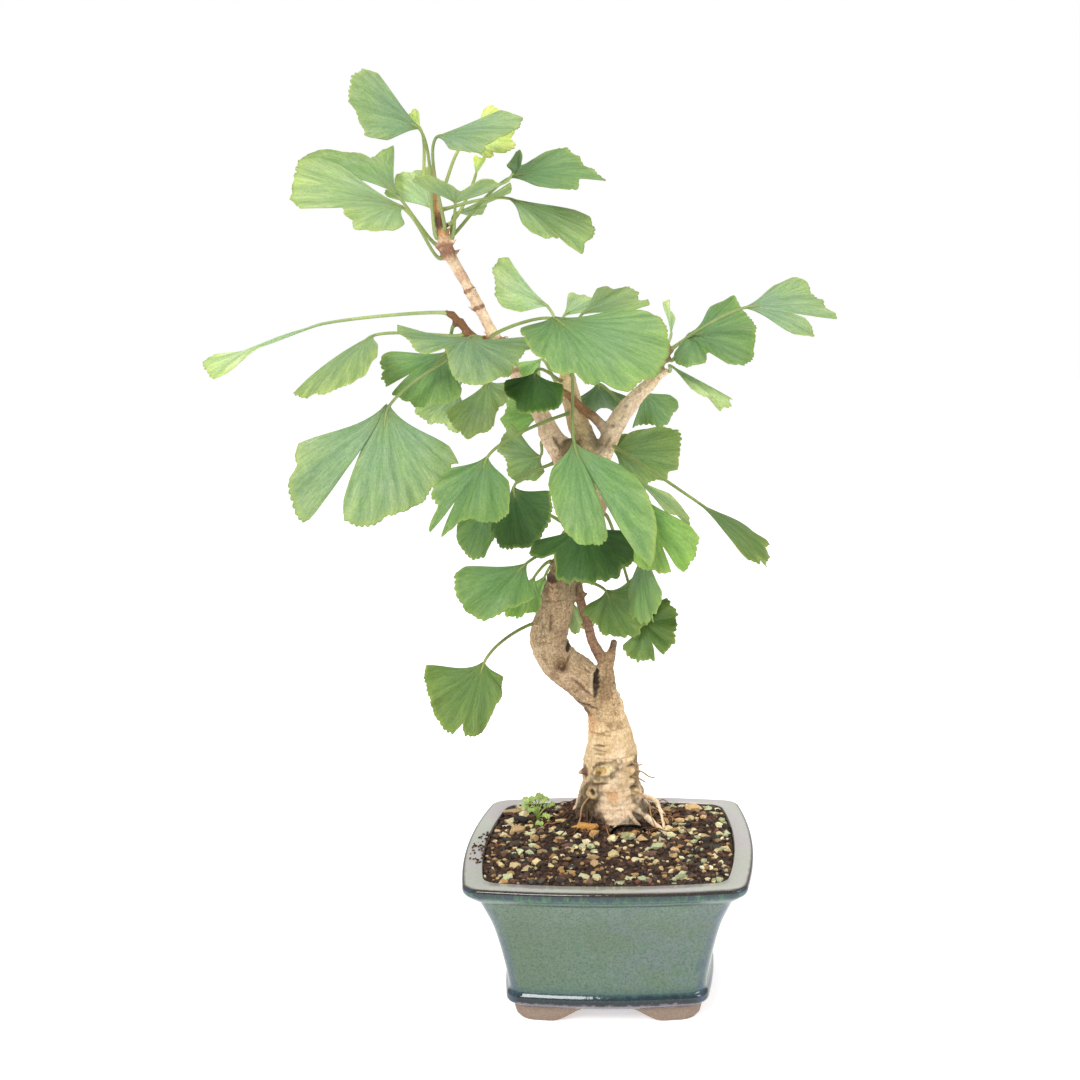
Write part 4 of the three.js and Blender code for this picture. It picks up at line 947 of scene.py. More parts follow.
@dataclass(frozen=True)
class PlainFinish:
    """An even finish with a faint grain of its own.

    Args:
        name: the real material and how its surface was made.
        colour: its sRGB hex colour.
        roughness: how far its gloss is spread.
        grain_mm: the size of its grain.
        metallic: 1 for a metal.
        relief_mm: the depth of its grain.
    """

    name: str
    colour: str
    roughness: float
    grain_mm: float
    metallic: float = 0.0
    relief_mm: float = 0.1

    def material(self) -> bpy.types.Material:
        """The finish as a material."""
        material, tree = start_material(self.name)
        grain = add(tree, "TexNoise", plan_millimetres(tree), 1 / self.grain_mm, *EVEN)
        share = add(tree, "MapRange", grain, 0.3, 0.7)
        dark, light = (tuple(min(1.0, c * k) for c in linear(self.colour)) for k in (0.85, 1.15))
        duller = add(tree, "MapRange", grain, 0.3, 0.7, 0.9 * self.roughness, 1.1 * self.roughness)
        shader = add(tree, "BsdfPrincipled", named={
            "Base Color": add(tree, "Mix", share, dark, light, **BLEND), "Roughness": duller,
            "Metallic": self.metallic,
            "Normal": add(tree, "Bump", 0.3, self.relief_mm * MM, named={"Height": grain})})
        add(tree, "OutputMaterial", shader)
        return material


# ---------------------------------------------------------------- pot


def bowed_square(u: np.ndarray, half: np.ndarray, bow: np.ndarray, radius: float) -> np.ndarray:
    """Points of a square with swelling sides and round corners.

    Args:
        u: shares of the way round, from 0 to 1, starting at a quarter's side.
        half: half width at mid-side.
        bow: how far a side swells.
        radius: the corners' radius.

    Returns:
        Rows of x and y.
    """
    reach = half - bow - radius
    side = (reach**2 + bow**2) / (2 * bow)
    heart = half - side
    corner = (heart + np.sqrt(2 * (side - radius) ** 2 - heart**2)) / 2
    opening = np.arctan2(corner, corner - heart)
    quarter = np.floor(u * 4 + 1e-6)
    along = np.clip(u * 4 - quarter, 0, 1)
    sides = 0.62  # the share of a quarter's points that lie on its side
    on_side = along < sides
    swing = opening * (2 * np.minimum(along / sides, 1) - 1)
    turn = opening + (math.pi / 2 - 2 * opening) * np.maximum(along - sides, 0) / (1 - sides)
    x = np.where(on_side, heart + side * np.cos(swing), corner + radius * np.cos(turn))
    y = np.where(on_side, side * np.sin(swing), corner + radius * np.sin(turn))
    spin = quarter * math.pi / 2
    return np.stack([x * np.cos(spin) - y * np.sin(spin), x * np.sin(spin) + y * np.cos(spin)], axis=1)


def eased(profile: Sequence[tuple[float, ...]], steps: int = 4) -> list[tuple[float, float, float]]:
    """A profile whose corners are rounded by their own easing lengths.

    Args:
        profile: rows of height, half width, bow and easing.
        steps: points in each rounded corner.

    Returns:
        Rows of height, half width and bow.
    """
    rows = np.array(profile, float)
    out = [rows[0, :3]]
    for before, here, after in zip(rows, rows[1:], rows[2:]):
        legs = [other[:3] - here[:3] for other in (before, after)]
        sizes = [max(float(np.linalg.norm(leg[:2])), 1e-6) for leg in legs]
        a, b = (here[:3] + leg * min(here[3], 0.48 * size) / size for leg, size in zip(legs, sizes))
        for i in range(steps):
            t = i / (steps - 1)
            out.append((1 - t) ** 2 * a + 2 * t * (1 - t) * here[:3] + t**2 * b)
    out.append(rows[-1, :3])
    return [tuple(row) for row in out]


@dataclass
class Pot:
    """The square glazed pot, one fired shell from its rim to its four feet."""

    glaze: bpy.types.Material
    corner: float = 10.0
    bow: float = 2.4
    foot_half: float = 51.0
    foot_wall: float = 10.0
    underside: float = 9.0
    floor: float = 15.0
    arch_height: float = 8.4
    arch_half: float = 28.5
    drain_radius: float = 7.0
    segments: int = 200

    def arch(self, along: np.ndarray) -> np.ndarray:
        """Height of the flat ogee arch between two feet, at each place along the side."""
        inner, outer = 0.28 * self.arch_half, self.arch_half
        t = np.clip((outer - np.abs(along)) / (outer - inner), 0, 1)
        return self.arch_height * t * t * (3 - 2 * t)

    def foot_rings(self) -> list[tuple[float, float, float, float, float]]:
        """Rings of the feet's walls, inside and then outside, as in rings."""
        inner, bottom = self.foot_half - self.foot_wall, self.foot_half - 3
        inside = ((0.0, 1.0), (0.0, 0.5), (0.0, 0.08), (0.3, 0.02), (0.9, 0.0))
        outside = ((-1.0, 0.0), (-0.3, 0.02), (0.0, 0.07), (1.3, 0.25), (2.2, 0.6), (2.7, 1.0))
        return [(self.underside, inner + out, self.bow, 0.0, share) for out, share in inside] + [
            (self.underside + 0.4, bottom + out, self.bow + 0.1 * out, 0.0, share) for out, share in outside]

    def rings(self) -> list[tuple[float, float, float, float, float]]:
        """Every ring of the shell, as (height, half width, bow, how far it is drawn in to the drainage hole,
        share of the way up from the arch)."""
        inner = self.foot_half - self.foot_wall
        middle = 0.5 * (self.floor + self.underside)
        return [
            *((self.underside, inner, self.bow, narrow, 1.0) for narrow in (1.0, 0.985, 0.6, 0.2)),
            *self.foot_rings(),
            *((*sizes, 0.0, 1.0) for sizes in (*eased(OUTER), *eased(INNER))),
            *((self.floor, 46.5, 2.8, narrow, 1.0) for narrow in (0.3, 0.7, 0.985, 1.0)),
            *((height, inner, self.bow, 1.0, 1.0) for height in (middle, self.underside)),
        ]

    def ring_points(self, u: np.ndarray, height: float, half: float, bow: float, narrow: float,
                    share: float) -> np.ndarray:
        """Points of one ring.

        Args:
            u: shares of the way round.
            height: its height.
            half: its half width at mid-side.
            bow: how far its sides swell.
            narrow: how far it is drawn in to the drainage hole, from 0 to 1.
            share: how far up it lies from the feet's arches to its height, from 0 to 1.

        Returns:
            One point a row.
        """
        flat = bowed_square(u, half, bow, self.corner)
        facing = np.abs(flat[:, 0]) > np.abs(flat[:, 1])
        arch = self.arch(np.where(facing, flat[:, 1], flat[:, 0])) if share < 1 else 0.0
        flat = flat + (self.drain_radius * unit(flat) - flat) * narrow
        return np.column_stack([flat, np.full(len(u), arch + (height - arch) * share)])

    def build(self) -> bpy.types.Object:
        """Makes the pot and places it."""
        rings = self.rings()
        mesh, around, row = round_grid("pot_shell", self.segments, len(rings) - 1)
        points = np.empty((len(row), 3))
        for i, sizes in enumerate(rings):
            points[row == i] = self.ring_points(around[row == i] % 1.0, *sizes)
        move_points(mesh, points)
        weld(mesh)
        return add_piece("glazed_pot", mesh, [self.glaze], ["pot"])


# ---------------------------------------------------------------- soil


HEAPS = (  # crumbs heaped against the trunk and the front wall: (x, y, half width, half depth, height)
    (-1, 39, 30, 30, 3.0), (-17, 28, 8, 9, 8.0), (-9, 21, 7, 5, 3.0), (20, 32, 8, 9, 5.0),
    (0, -62, 50, 7, 1.6), (-34, -60, 20, 7, 0.8), (36, -60, 20, 7, 0.8),
)


def soil_height(x: np.ndarray, y: np.ndarray) -> np.ndarray:
    """Height of the soil's surface: a low mound about the trunk, with coarse crumbs."""
    crumb = np.sin(x * 0.9 + y * 0.35) + np.sin(y * 0.83 - x * 0.41 + 1.3) + np.sin(x * 0.5 + y * 1.1 + 4)
    level = SOIL_LEVEL + 0.4 * crumb
    for heap_x, heap_y, width, depth, height in HEAPS:
        level = level + height * np.exp(-(((x - heap_x) / width) ** 2) - ((y - heap_y) / depth) ** 2)
    return level


@dataclass(frozen=True)
class Grain:
    """One kind of grain in the soil.

    Args:
        count: how many lie on the bed.
        size: smallest and largest radius.
        tints: sRGB hex colours that they are drawn from.
        rounds: subdivisions of the grain's ball.
        flat: height as a share of width.
        rise: how far they stand out, as a share of the radius.
        jag: how far their corners are broken, as a share of the radius.
        clear: the nearest that they lie to the middle of the trunk's foot.
        near: the farthest that they lie from it.
    """

    count: int
    size: tuple[float, float]
    tints: tuple[str, ...]
    rounds: int = 1
    flat: float = 0.7
    rise: float = 0.2
    jag: float = 0.22
    clear: float = 15.0
    near: float = 200.0


@dataclass(frozen=True)
class Stone:
    """One larger stone or chip that lies on the bed.

    Args:
        place: its x and y.
        size: half its width, depth and height.
        turn: its turn from above, in degrees.
        tint: its sRGB hex colour.
        lift: how high its middle lies above the bed.
    """

    place: tuple[float, float]
    size: Point
    turn: float
    tint: str
    lift: float = 0.8


@dataclass
class Soil:
    """The filled soil: a closed bed up to the rim, with loose crumbs and grit on it."""

    ground: bpy.types.Material
    half: float = 64.0
    bow: float = 4.1
    segments: int = 120
    seed: int = 11
    batch: int = 90
    crease: float = 30.0
    grains: tuple[Grain, ...] = (
        Grain(3300, (0.4, 1.4), ("33241b", "43301f", "2a1f19", "543a29", "5e4535", "4a3325"), jag=0.3),
        Grain(360, (1.0, 2.6), ("5a4434", "664c3b", "4d3b2d", "352a24", "745a48", "6a4537"),
              flat=0.7, rise=0.3, jag=0.28, clear=17),
        Grain(90, (1.2, 2.8), ("2b2625", "3b3833", "4b4a40", "27211f"),
              flat=0.5, rise=0.4, jag=0.3, clear=19),
        Grain(330, (0.7, 2.0), ("d8c48e", "e6d8a8", "c6a671", "bcbf93", "dcd9ae", "c8ad7c", "b3b58c",
                                "b98f5c", "ece2be", "a98457"),
              flat=0.55, rise=0.5, jag=0.34, clear=24),
        Grain(130, (1.9, 3.4), ("d9c694", "c9a87a", "d3d0a4", "b9925f", "e3d6ad", "9f8a68", "c3cba0",
                                "b0b890"),
              flat=0.5, rise=0.45, jag=0.36, clear=26),
        Grain(110, (0.9, 1.9), ("c4a878", "a4845a", "d6c7a0"), flat=0.55, rise=0.4, jag=0.32, clear=17),
        Grain(620, (0.4, 1.1), ("2c2118", "3d2d1f", "4c4427", "5d4a30", "241b16", "56522c", "6a4f38"),
              rise=0.5, jag=0.32, clear=12, near=29),
    )
    stones: tuple[Stone, ...] = (
        Stone((-50.8, 17.7), (5.0, 3.2, 2.6), 35, "cfae80", 1.6),
        Stone((-57, 50), (5.5, 3.4, 2.2), 20, "b69a72"),
        Stone((-50, 36), (5.0, 2.4, 1.8), -10, "2c2523"),
        Stone((-13.5, 15.0), (7.0, 2.6, 2.2), -4, "c2904c", 1.2),
        Stone((8.0, 5.0), (3.6, 2.6, 2.0), 60, "9c9a6c"),
        Stone((-22, -8), (3.4, 2.6, 2.2), 10, "7b5648"),
        Stone((44, 52), (5.0, 3.6, 2.2), -25, "c7a878"),
        Stone((30, 47), (4.2, 3.0, 2.0), 15, "a9946e"),
        Stone((12, 8), (3.2, 2.4, 2.0), 25, "c08a4e", 1.2),
    )
    spilled: int = 80
    spill: Grain = Grain(1, (0.25, 0.95), ("3b2a20", "5a3d30", "2b211b", "6e4c3c"), rise=0.6, jag=0.3)
    spill_area: tuple[float, float, float, float, float] = (-71.0, -64.0, -34.0, 12.0, 78.8)
    wall: tuple[tuple[float, float], ...] = (  # (height, half width) of the soil down the pot's wall
        (74.0, 62.9), (62.0, 59.4), (45.0, 53.2), (28.0, 49.2), (15.4, 45.9),
    )
    corner: float = 10.0
    earths: tuple[str, str] = ("2b2019", "513729")

    def inside(self, x: np.ndarray, y: np.ndarray, shrink: float = 0.0) -> tuple[np.ndarray, np.ndarray]:
        """Takes a square from -1 to 1 to the pot's opening, with round corners.

        Args:
            x: places from left to right.
            y: places from front to back.
            shrink: how far to stay clear of the wall.

        Returns:
            The places in millimetres.
        """
        side, corner = self.half - self.bow - shrink, self.corner
        across = x * (side + self.bow * (1 - y**2))
        back = y * (side + self.bow * (1 - x**2))
        u = np.maximum(np.abs(across) - (side - corner), 0) / corner
        v = np.maximum(np.abs(back) - (side - corner), 0) / corner
        round_u = u * np.sqrt(np.clip(1 - v**2 / 2, 0, 1))
        round_v = v * np.sqrt(np.clip(1 - u**2 / 2, 0, 1))
        at_corner = (u > 0) & (v > 0)
        across = np.where(at_corner, np.sign(x) * (side - corner + corner * round_u), across)
        back = np.where(at_corner, np.sign(y) * (side - corner + corner * round_v), back)
        return across, back

    def bed(self) -> bpy.types.Mesh:
        """The bed: a rough surface whose edge is carried down the pot's wall to the floor."""
        mesh = unit_grid("bed", self.segments, self.segments)
        flat = 2 * coordinates(mesh) - 1
        x, y = self.inside(flat[:, 0], flat[:, 1])
        z = soil_height(x, y)
        rough = np.array([noise.noise(Vector((a * 0.5, b * 0.5, 0))) + 0.6 * noise.noise(Vector((a, b, 3)))
                          for a, b in zip(x, y)])
        move_points(mesh, np.column_stack([x, y, z + 0.9 * rough - 0.5]))
        with edited(mesh) as bm:
            edges = [edge for edge in bm.edges if edge.is_boundary]
            width = self.half
            for height, half in self.wall:
                grown = bmesh.ops.extrude_edge_only(bm, edges=edges)["geom"]
                edges = [part for part in grown if isinstance(part, bmesh.types.BMEdge)]
                for vert in {vert for edge in edges for vert in edge.verts}:
                    vert.co = Vector((vert.co.x * half / width, vert.co.y * half / width, height))
                width = half
            bmesh.ops.holes_fill(bm, edges=edges, sides=0)
            bmesh.ops.recalc_face_normals(bm, faces=bm.faces)
        dark, brown = (np.array(linear(tint)) for tint in self.earths)
        share = np.array([0.5 + 0.8 * noise.noise(Vector(p * 0.3)) for p in coordinates(mesh)])[:, None]
        put_vectors(mesh, "tint", dark + (brown - dark) * np.clip(share, 0, 1))
        return mesh

    def open_spot(self, draw: random.Random, size: float, grain: Grain) -> tuple[float, float]:
        """A place on the bed, clear of the trunk.

        Args:
            draw: the source of chance.
            size: the radius of what lies there.
            grain: its kind.

        Returns:
            Its x and y.
        """
        while True:
            u, v = draw.uniform(-1, 1), draw.uniform(-1, 1)
            x, y = (float(a) for a in self.inside(np.float64(u), np.float64(v), 0.6 * size))
            if grain.clear + size < math.hypot(x - FOOT_X, y - FOOT_Y) < grain.near:
                return x, y

    def strewn(self, grain: Grain, draw: random.Random) -> list[bpy.types.Mesh]:
        """Meshes of one kind of grain, strewn over the bed in batches."""
        batches = []
        left = grain.count
        while left > 0:
            bm = bmesh.new()
            tint = bm.verts.layers.float_vector.new("tint")
            for _ in range(min(self.batch, left)):
                size = draw.uniform(*grain.size)
                x, y = self.open_spot(draw, size, grain)
                z = float(soil_height(np.float64(x), np.float64(y))) + grain.rise * size - 0.4
                self.add_grain(bm, tint, Vector((x, y, z)), size, grain, draw)
            left -= self.batch
            batches.append(new_mesh("grains", bm))
        return batches

    def add_grain(self, bm: bmesh.types.BMesh, tint: bmesh.types.BMLayerItem, place: Vector, size: float,
                  grain: Grain, draw: random.Random) -> None:
        """Adds one grain: a ball that is flattened, turned and broken by small moves of its points.

        Args:
            bm: where it is added.
            tint: the layer that holds its colour.
            place: its middle.
            size: its radius.
            grain: its kind.
            draw: the source of chance.
        """
        spin = Matrix.Rotation(draw.uniform(0, math.tau), 4, "Z")
        tilt = Matrix.Rotation(draw.uniform(-0.5, 0.5), 4, "X")
        shape = Matrix.Diagonal((1, draw.uniform(0.6, 0.95), grain.flat * draw.uniform(0.8, 1.2), 1))
        self.broken_ball(bm, tint, place, spin @ tilt @ shape, (size, grain.rounds, grain.jag),
                         draw.choice(grain.tints), draw)

    def broken_ball(self, bm: bmesh.types.BMesh, tint: bmesh.types.BMLayerItem, place: Vector, form: Matrix,
                    make: tuple[float, int, float], hex_colour: str, draw: random.Random) -> None:
        """Adds a ball in the given form, swollen unevenly and broken at its corners.

        Args:
            bm: where it is added.
            tint: the layer that holds its colour.
            place: its middle.
            form: its turn and proportions.
            make: its radius, the ball's subdivisions and how far its corners are broken.
            hex_colour: its sRGB hex colour.
            draw: the source of chance.
        """
        size, rounds, jag = make
        matrix = Matrix.Translation(place) @ form
        ball = bmesh.ops.create_icosphere(bm, subdivisions=rounds, radius=size, matrix=matrix)["verts"]
        colour = Vector(linear(hex_colour)) * draw.uniform(0.8, 1.2)
        lump = Vector((draw.random(), draw.random(), draw.random())) * 50
        for vert in ball:
            away = vert.co - place
            swell = noise.noise(lump + away * (0.9 / size))
            vert.co += away * (0.5 * swell + draw.uniform(-jag, jag))
            vert[tint] = colour

    def lying_stones(self, draw: random.Random) -> bpy.types.Mesh:
        """The larger stones, and the crumbs that were spilled on the rim."""
        bm = bmesh.new()
        tint = bm.verts.layers.float_vector.new("tint")
        for stone in self.stones:
            x, y = stone.place
            z = float(soil_height(np.float64(x), np.float64(y))) + stone.lift
            form = Matrix.Rotation(math.radians(stone.turn), 4, "Z") @ Matrix.Diagonal((*stone.size, 1))
            self.broken_ball(bm, tint, Vector((x, y, z)), form, (1.0, 2, 0.1), stone.tint, draw)
        left, right, front, back, level = self.spill_area
        for _ in range(self.spilled):
            away = draw.random() ** 2
            place = Vector((right + (left - right) * away, draw.uniform(front, back), level))
            self.add_grain(bm, tint, place, draw.uniform(*self.spill.size), self.spill, draw)
        return new_mesh("grains", bm)

    def build(self) -> bpy.types.Object:
        """Makes the soil with its grains and places it."""
        draw = random.Random(self.seed)
        meshes = [self.bed()]
        for grain in self.grains:
            meshes += self.strewn(grain, draw)
        meshes.append(self.lying_stones(draw))
        return add_piece("potting_soil", join("potting_soil", meshes), [self.ground], ["soil"],
                         self.crease)


@dataclass
class Rootlets:
    """Fine dead roots that lie over the soil about the trunk."""

    bark: bpy.types.Material
    count: int = 86
    seed: int = 23
    steps: int = 12
    reach: float = 60.0
    tints: tuple[str, ...] = ("6b4630", "7a5838", "a97c4e", "4a3324", "57402c", "3a2a1e", "5f4832")
    towards: tuple[tuple[float, float], ...] = ((-60, 40), (-150, 30), (150, 30), (-20, 30), (90, 60))
    hair_tint: str = "b3916c"
    hairs: tuple[Limb, ...] = (  # thin dead roots that stand out of the trunk's side
        ((9, 28, 109.5, 0.6), (16, 26, 108, 0.45), (20, 25, 105.6, 0.4), (23, 24.5, 105, 0.3)),
        ((8, 26, 106.5, 0.6), (15, 24, 104.6, 0.45), (18, 23, 103, 0.35)),
        ((8, 26, 114, 0.5), (14.6, 25, 112, 0.45), (16.2, 24.4, 112.6, 0.35)),
        ((11, 24, 98, 0.5), (16, 21, 97, 0.45), (20, 19, 93, 0.4), (21, 17, 87, 0.35), (24, 14, 80, 0.3)),
        ((-12, 24, 95, 0.5), (-16, 21, 90, 0.45), (-17, 18, 84, 0.4), (-20, 16, 78, 0.3)),
    )

    def rootlet(self, draw: random.Random) -> bpy.types.Mesh:
        """One rootlet, wandering over the bed with a slight arch."""
        middle, spread = draw.choice(self.towards)
        angle = math.radians(draw.gauss(middle, spread))
        radius = draw.uniform(16, 30)
        length = draw.uniform(9, 26)
        heading = angle + draw.uniform(-1.3, 1.3)
        arch, curl = draw.uniform(0.6, 3.2), draw.uniform(-0.09, 0.09)
        place = np.array([FOOT_X + radius * math.cos(angle), FOOT_Y + radius * math.sin(angle)])
        rows = []
        stride = length / self.steps
        for share in np.linspace(0, 1, self.steps):
            level = float(soil_height(*place)) + 0.4 + arch * math.sin(math.pi * share)
            rows.append((*place, level))
            heading += curl * stride + draw.uniform(-0.25, 0.25)
            place = place + stride * np.array([math.cos(heading), math.sin(heading)])
            place = np.clip(place, -self.reach, self.reach)
        mesh = tube("rootlet", np.array(rows), np.linspace(draw.uniform(0.3, 0.6), 0.2, self.steps), 5)
        return self.tinted(mesh, draw.choice(self.tints))

    def hair(self, limb: Limb) -> bpy.types.Mesh:
        """One thin dead root that stands out of the trunk."""
        return self.tinted(limb_tube("hair", limb, 2 * self.steps, 6), self.hair_tint)

    def tinted(self, mesh: bpy.types.Mesh, hex_colour: str) -> bpy.types.Mesh:
        """The mesh with its tint and its fibre coordinates."""
        put_vectors(mesh, "tint", linear(hex_colour))
        put_vectors(mesh, "grain", coordinates(mesh))
        return mesh

    def build(self) -> bpy.types.Object:
        """Makes the rootlets and places them."""
        draw = random.Random(self.seed)
        meshes = [self.rootlet(draw) for _ in range(self.count)]
        meshes += [self.hair(limb) for limb in self.hairs]
        return add_piece("surface_rootlets", join("rootlets", meshes), [self.bark])


# ---------------------------------------------------------------- wood


@dataclass(frozen=True)
class Mark:
    """A mark grown into the wood: a knot, a scar, a hollow or a patch of colour.

    Args:
        at: its middle, on the surface.
        size: half its width, depth and height.
        tilt: its turn about the front-to-back axis, in degrees.
        lift: how far its middle stands out.
        rim: how far its edge stands out.
        tint: sRGB hex colour, or nothing.
        cover: how much of the tint shows.
    """

    at: Point
    size: Point
    tilt: float = 0.0
    lift: float = 0.0
    rim: float = 0.0
    tint: str = ""
    cover: float = 0.8

    def reach(self, points: np.ndarray) -> np.ndarray:
        """Distance of each point from the middle, as a share of the mark's half size."""
        away = points - np.array(self.at)
        turn = math.radians(self.tilt)
        along = away[:, 0] * math.cos(turn) + away[:, 2] * math.sin(turn)
        up = away[:, 2] * math.cos(turn) - away[:, 0] * math.sin(turn)
        parts = np.stack([along, away[:, 1], up], axis=1) / np.array(self.size)
        return np.linalg.norm(parts, axis=1)


# the right and middle limbs' tints are lighter than their bark: painted light against the shadow that the
# leaves cast on them
LIMB_TINTS = {
    "foot": "ffe8ca", "trunk": "dfc59e", "lower": "bda588", "left": "e4cab0", "apex": "c89a6c",
    "middle": "d9c49c", "right": "fae3c8", "thin": "94755f", "twig": "8d6a48", "spur": "7d5a3c",
    "side": "968160", "knob": "8f7150", "boss": "7c6a4a",
}

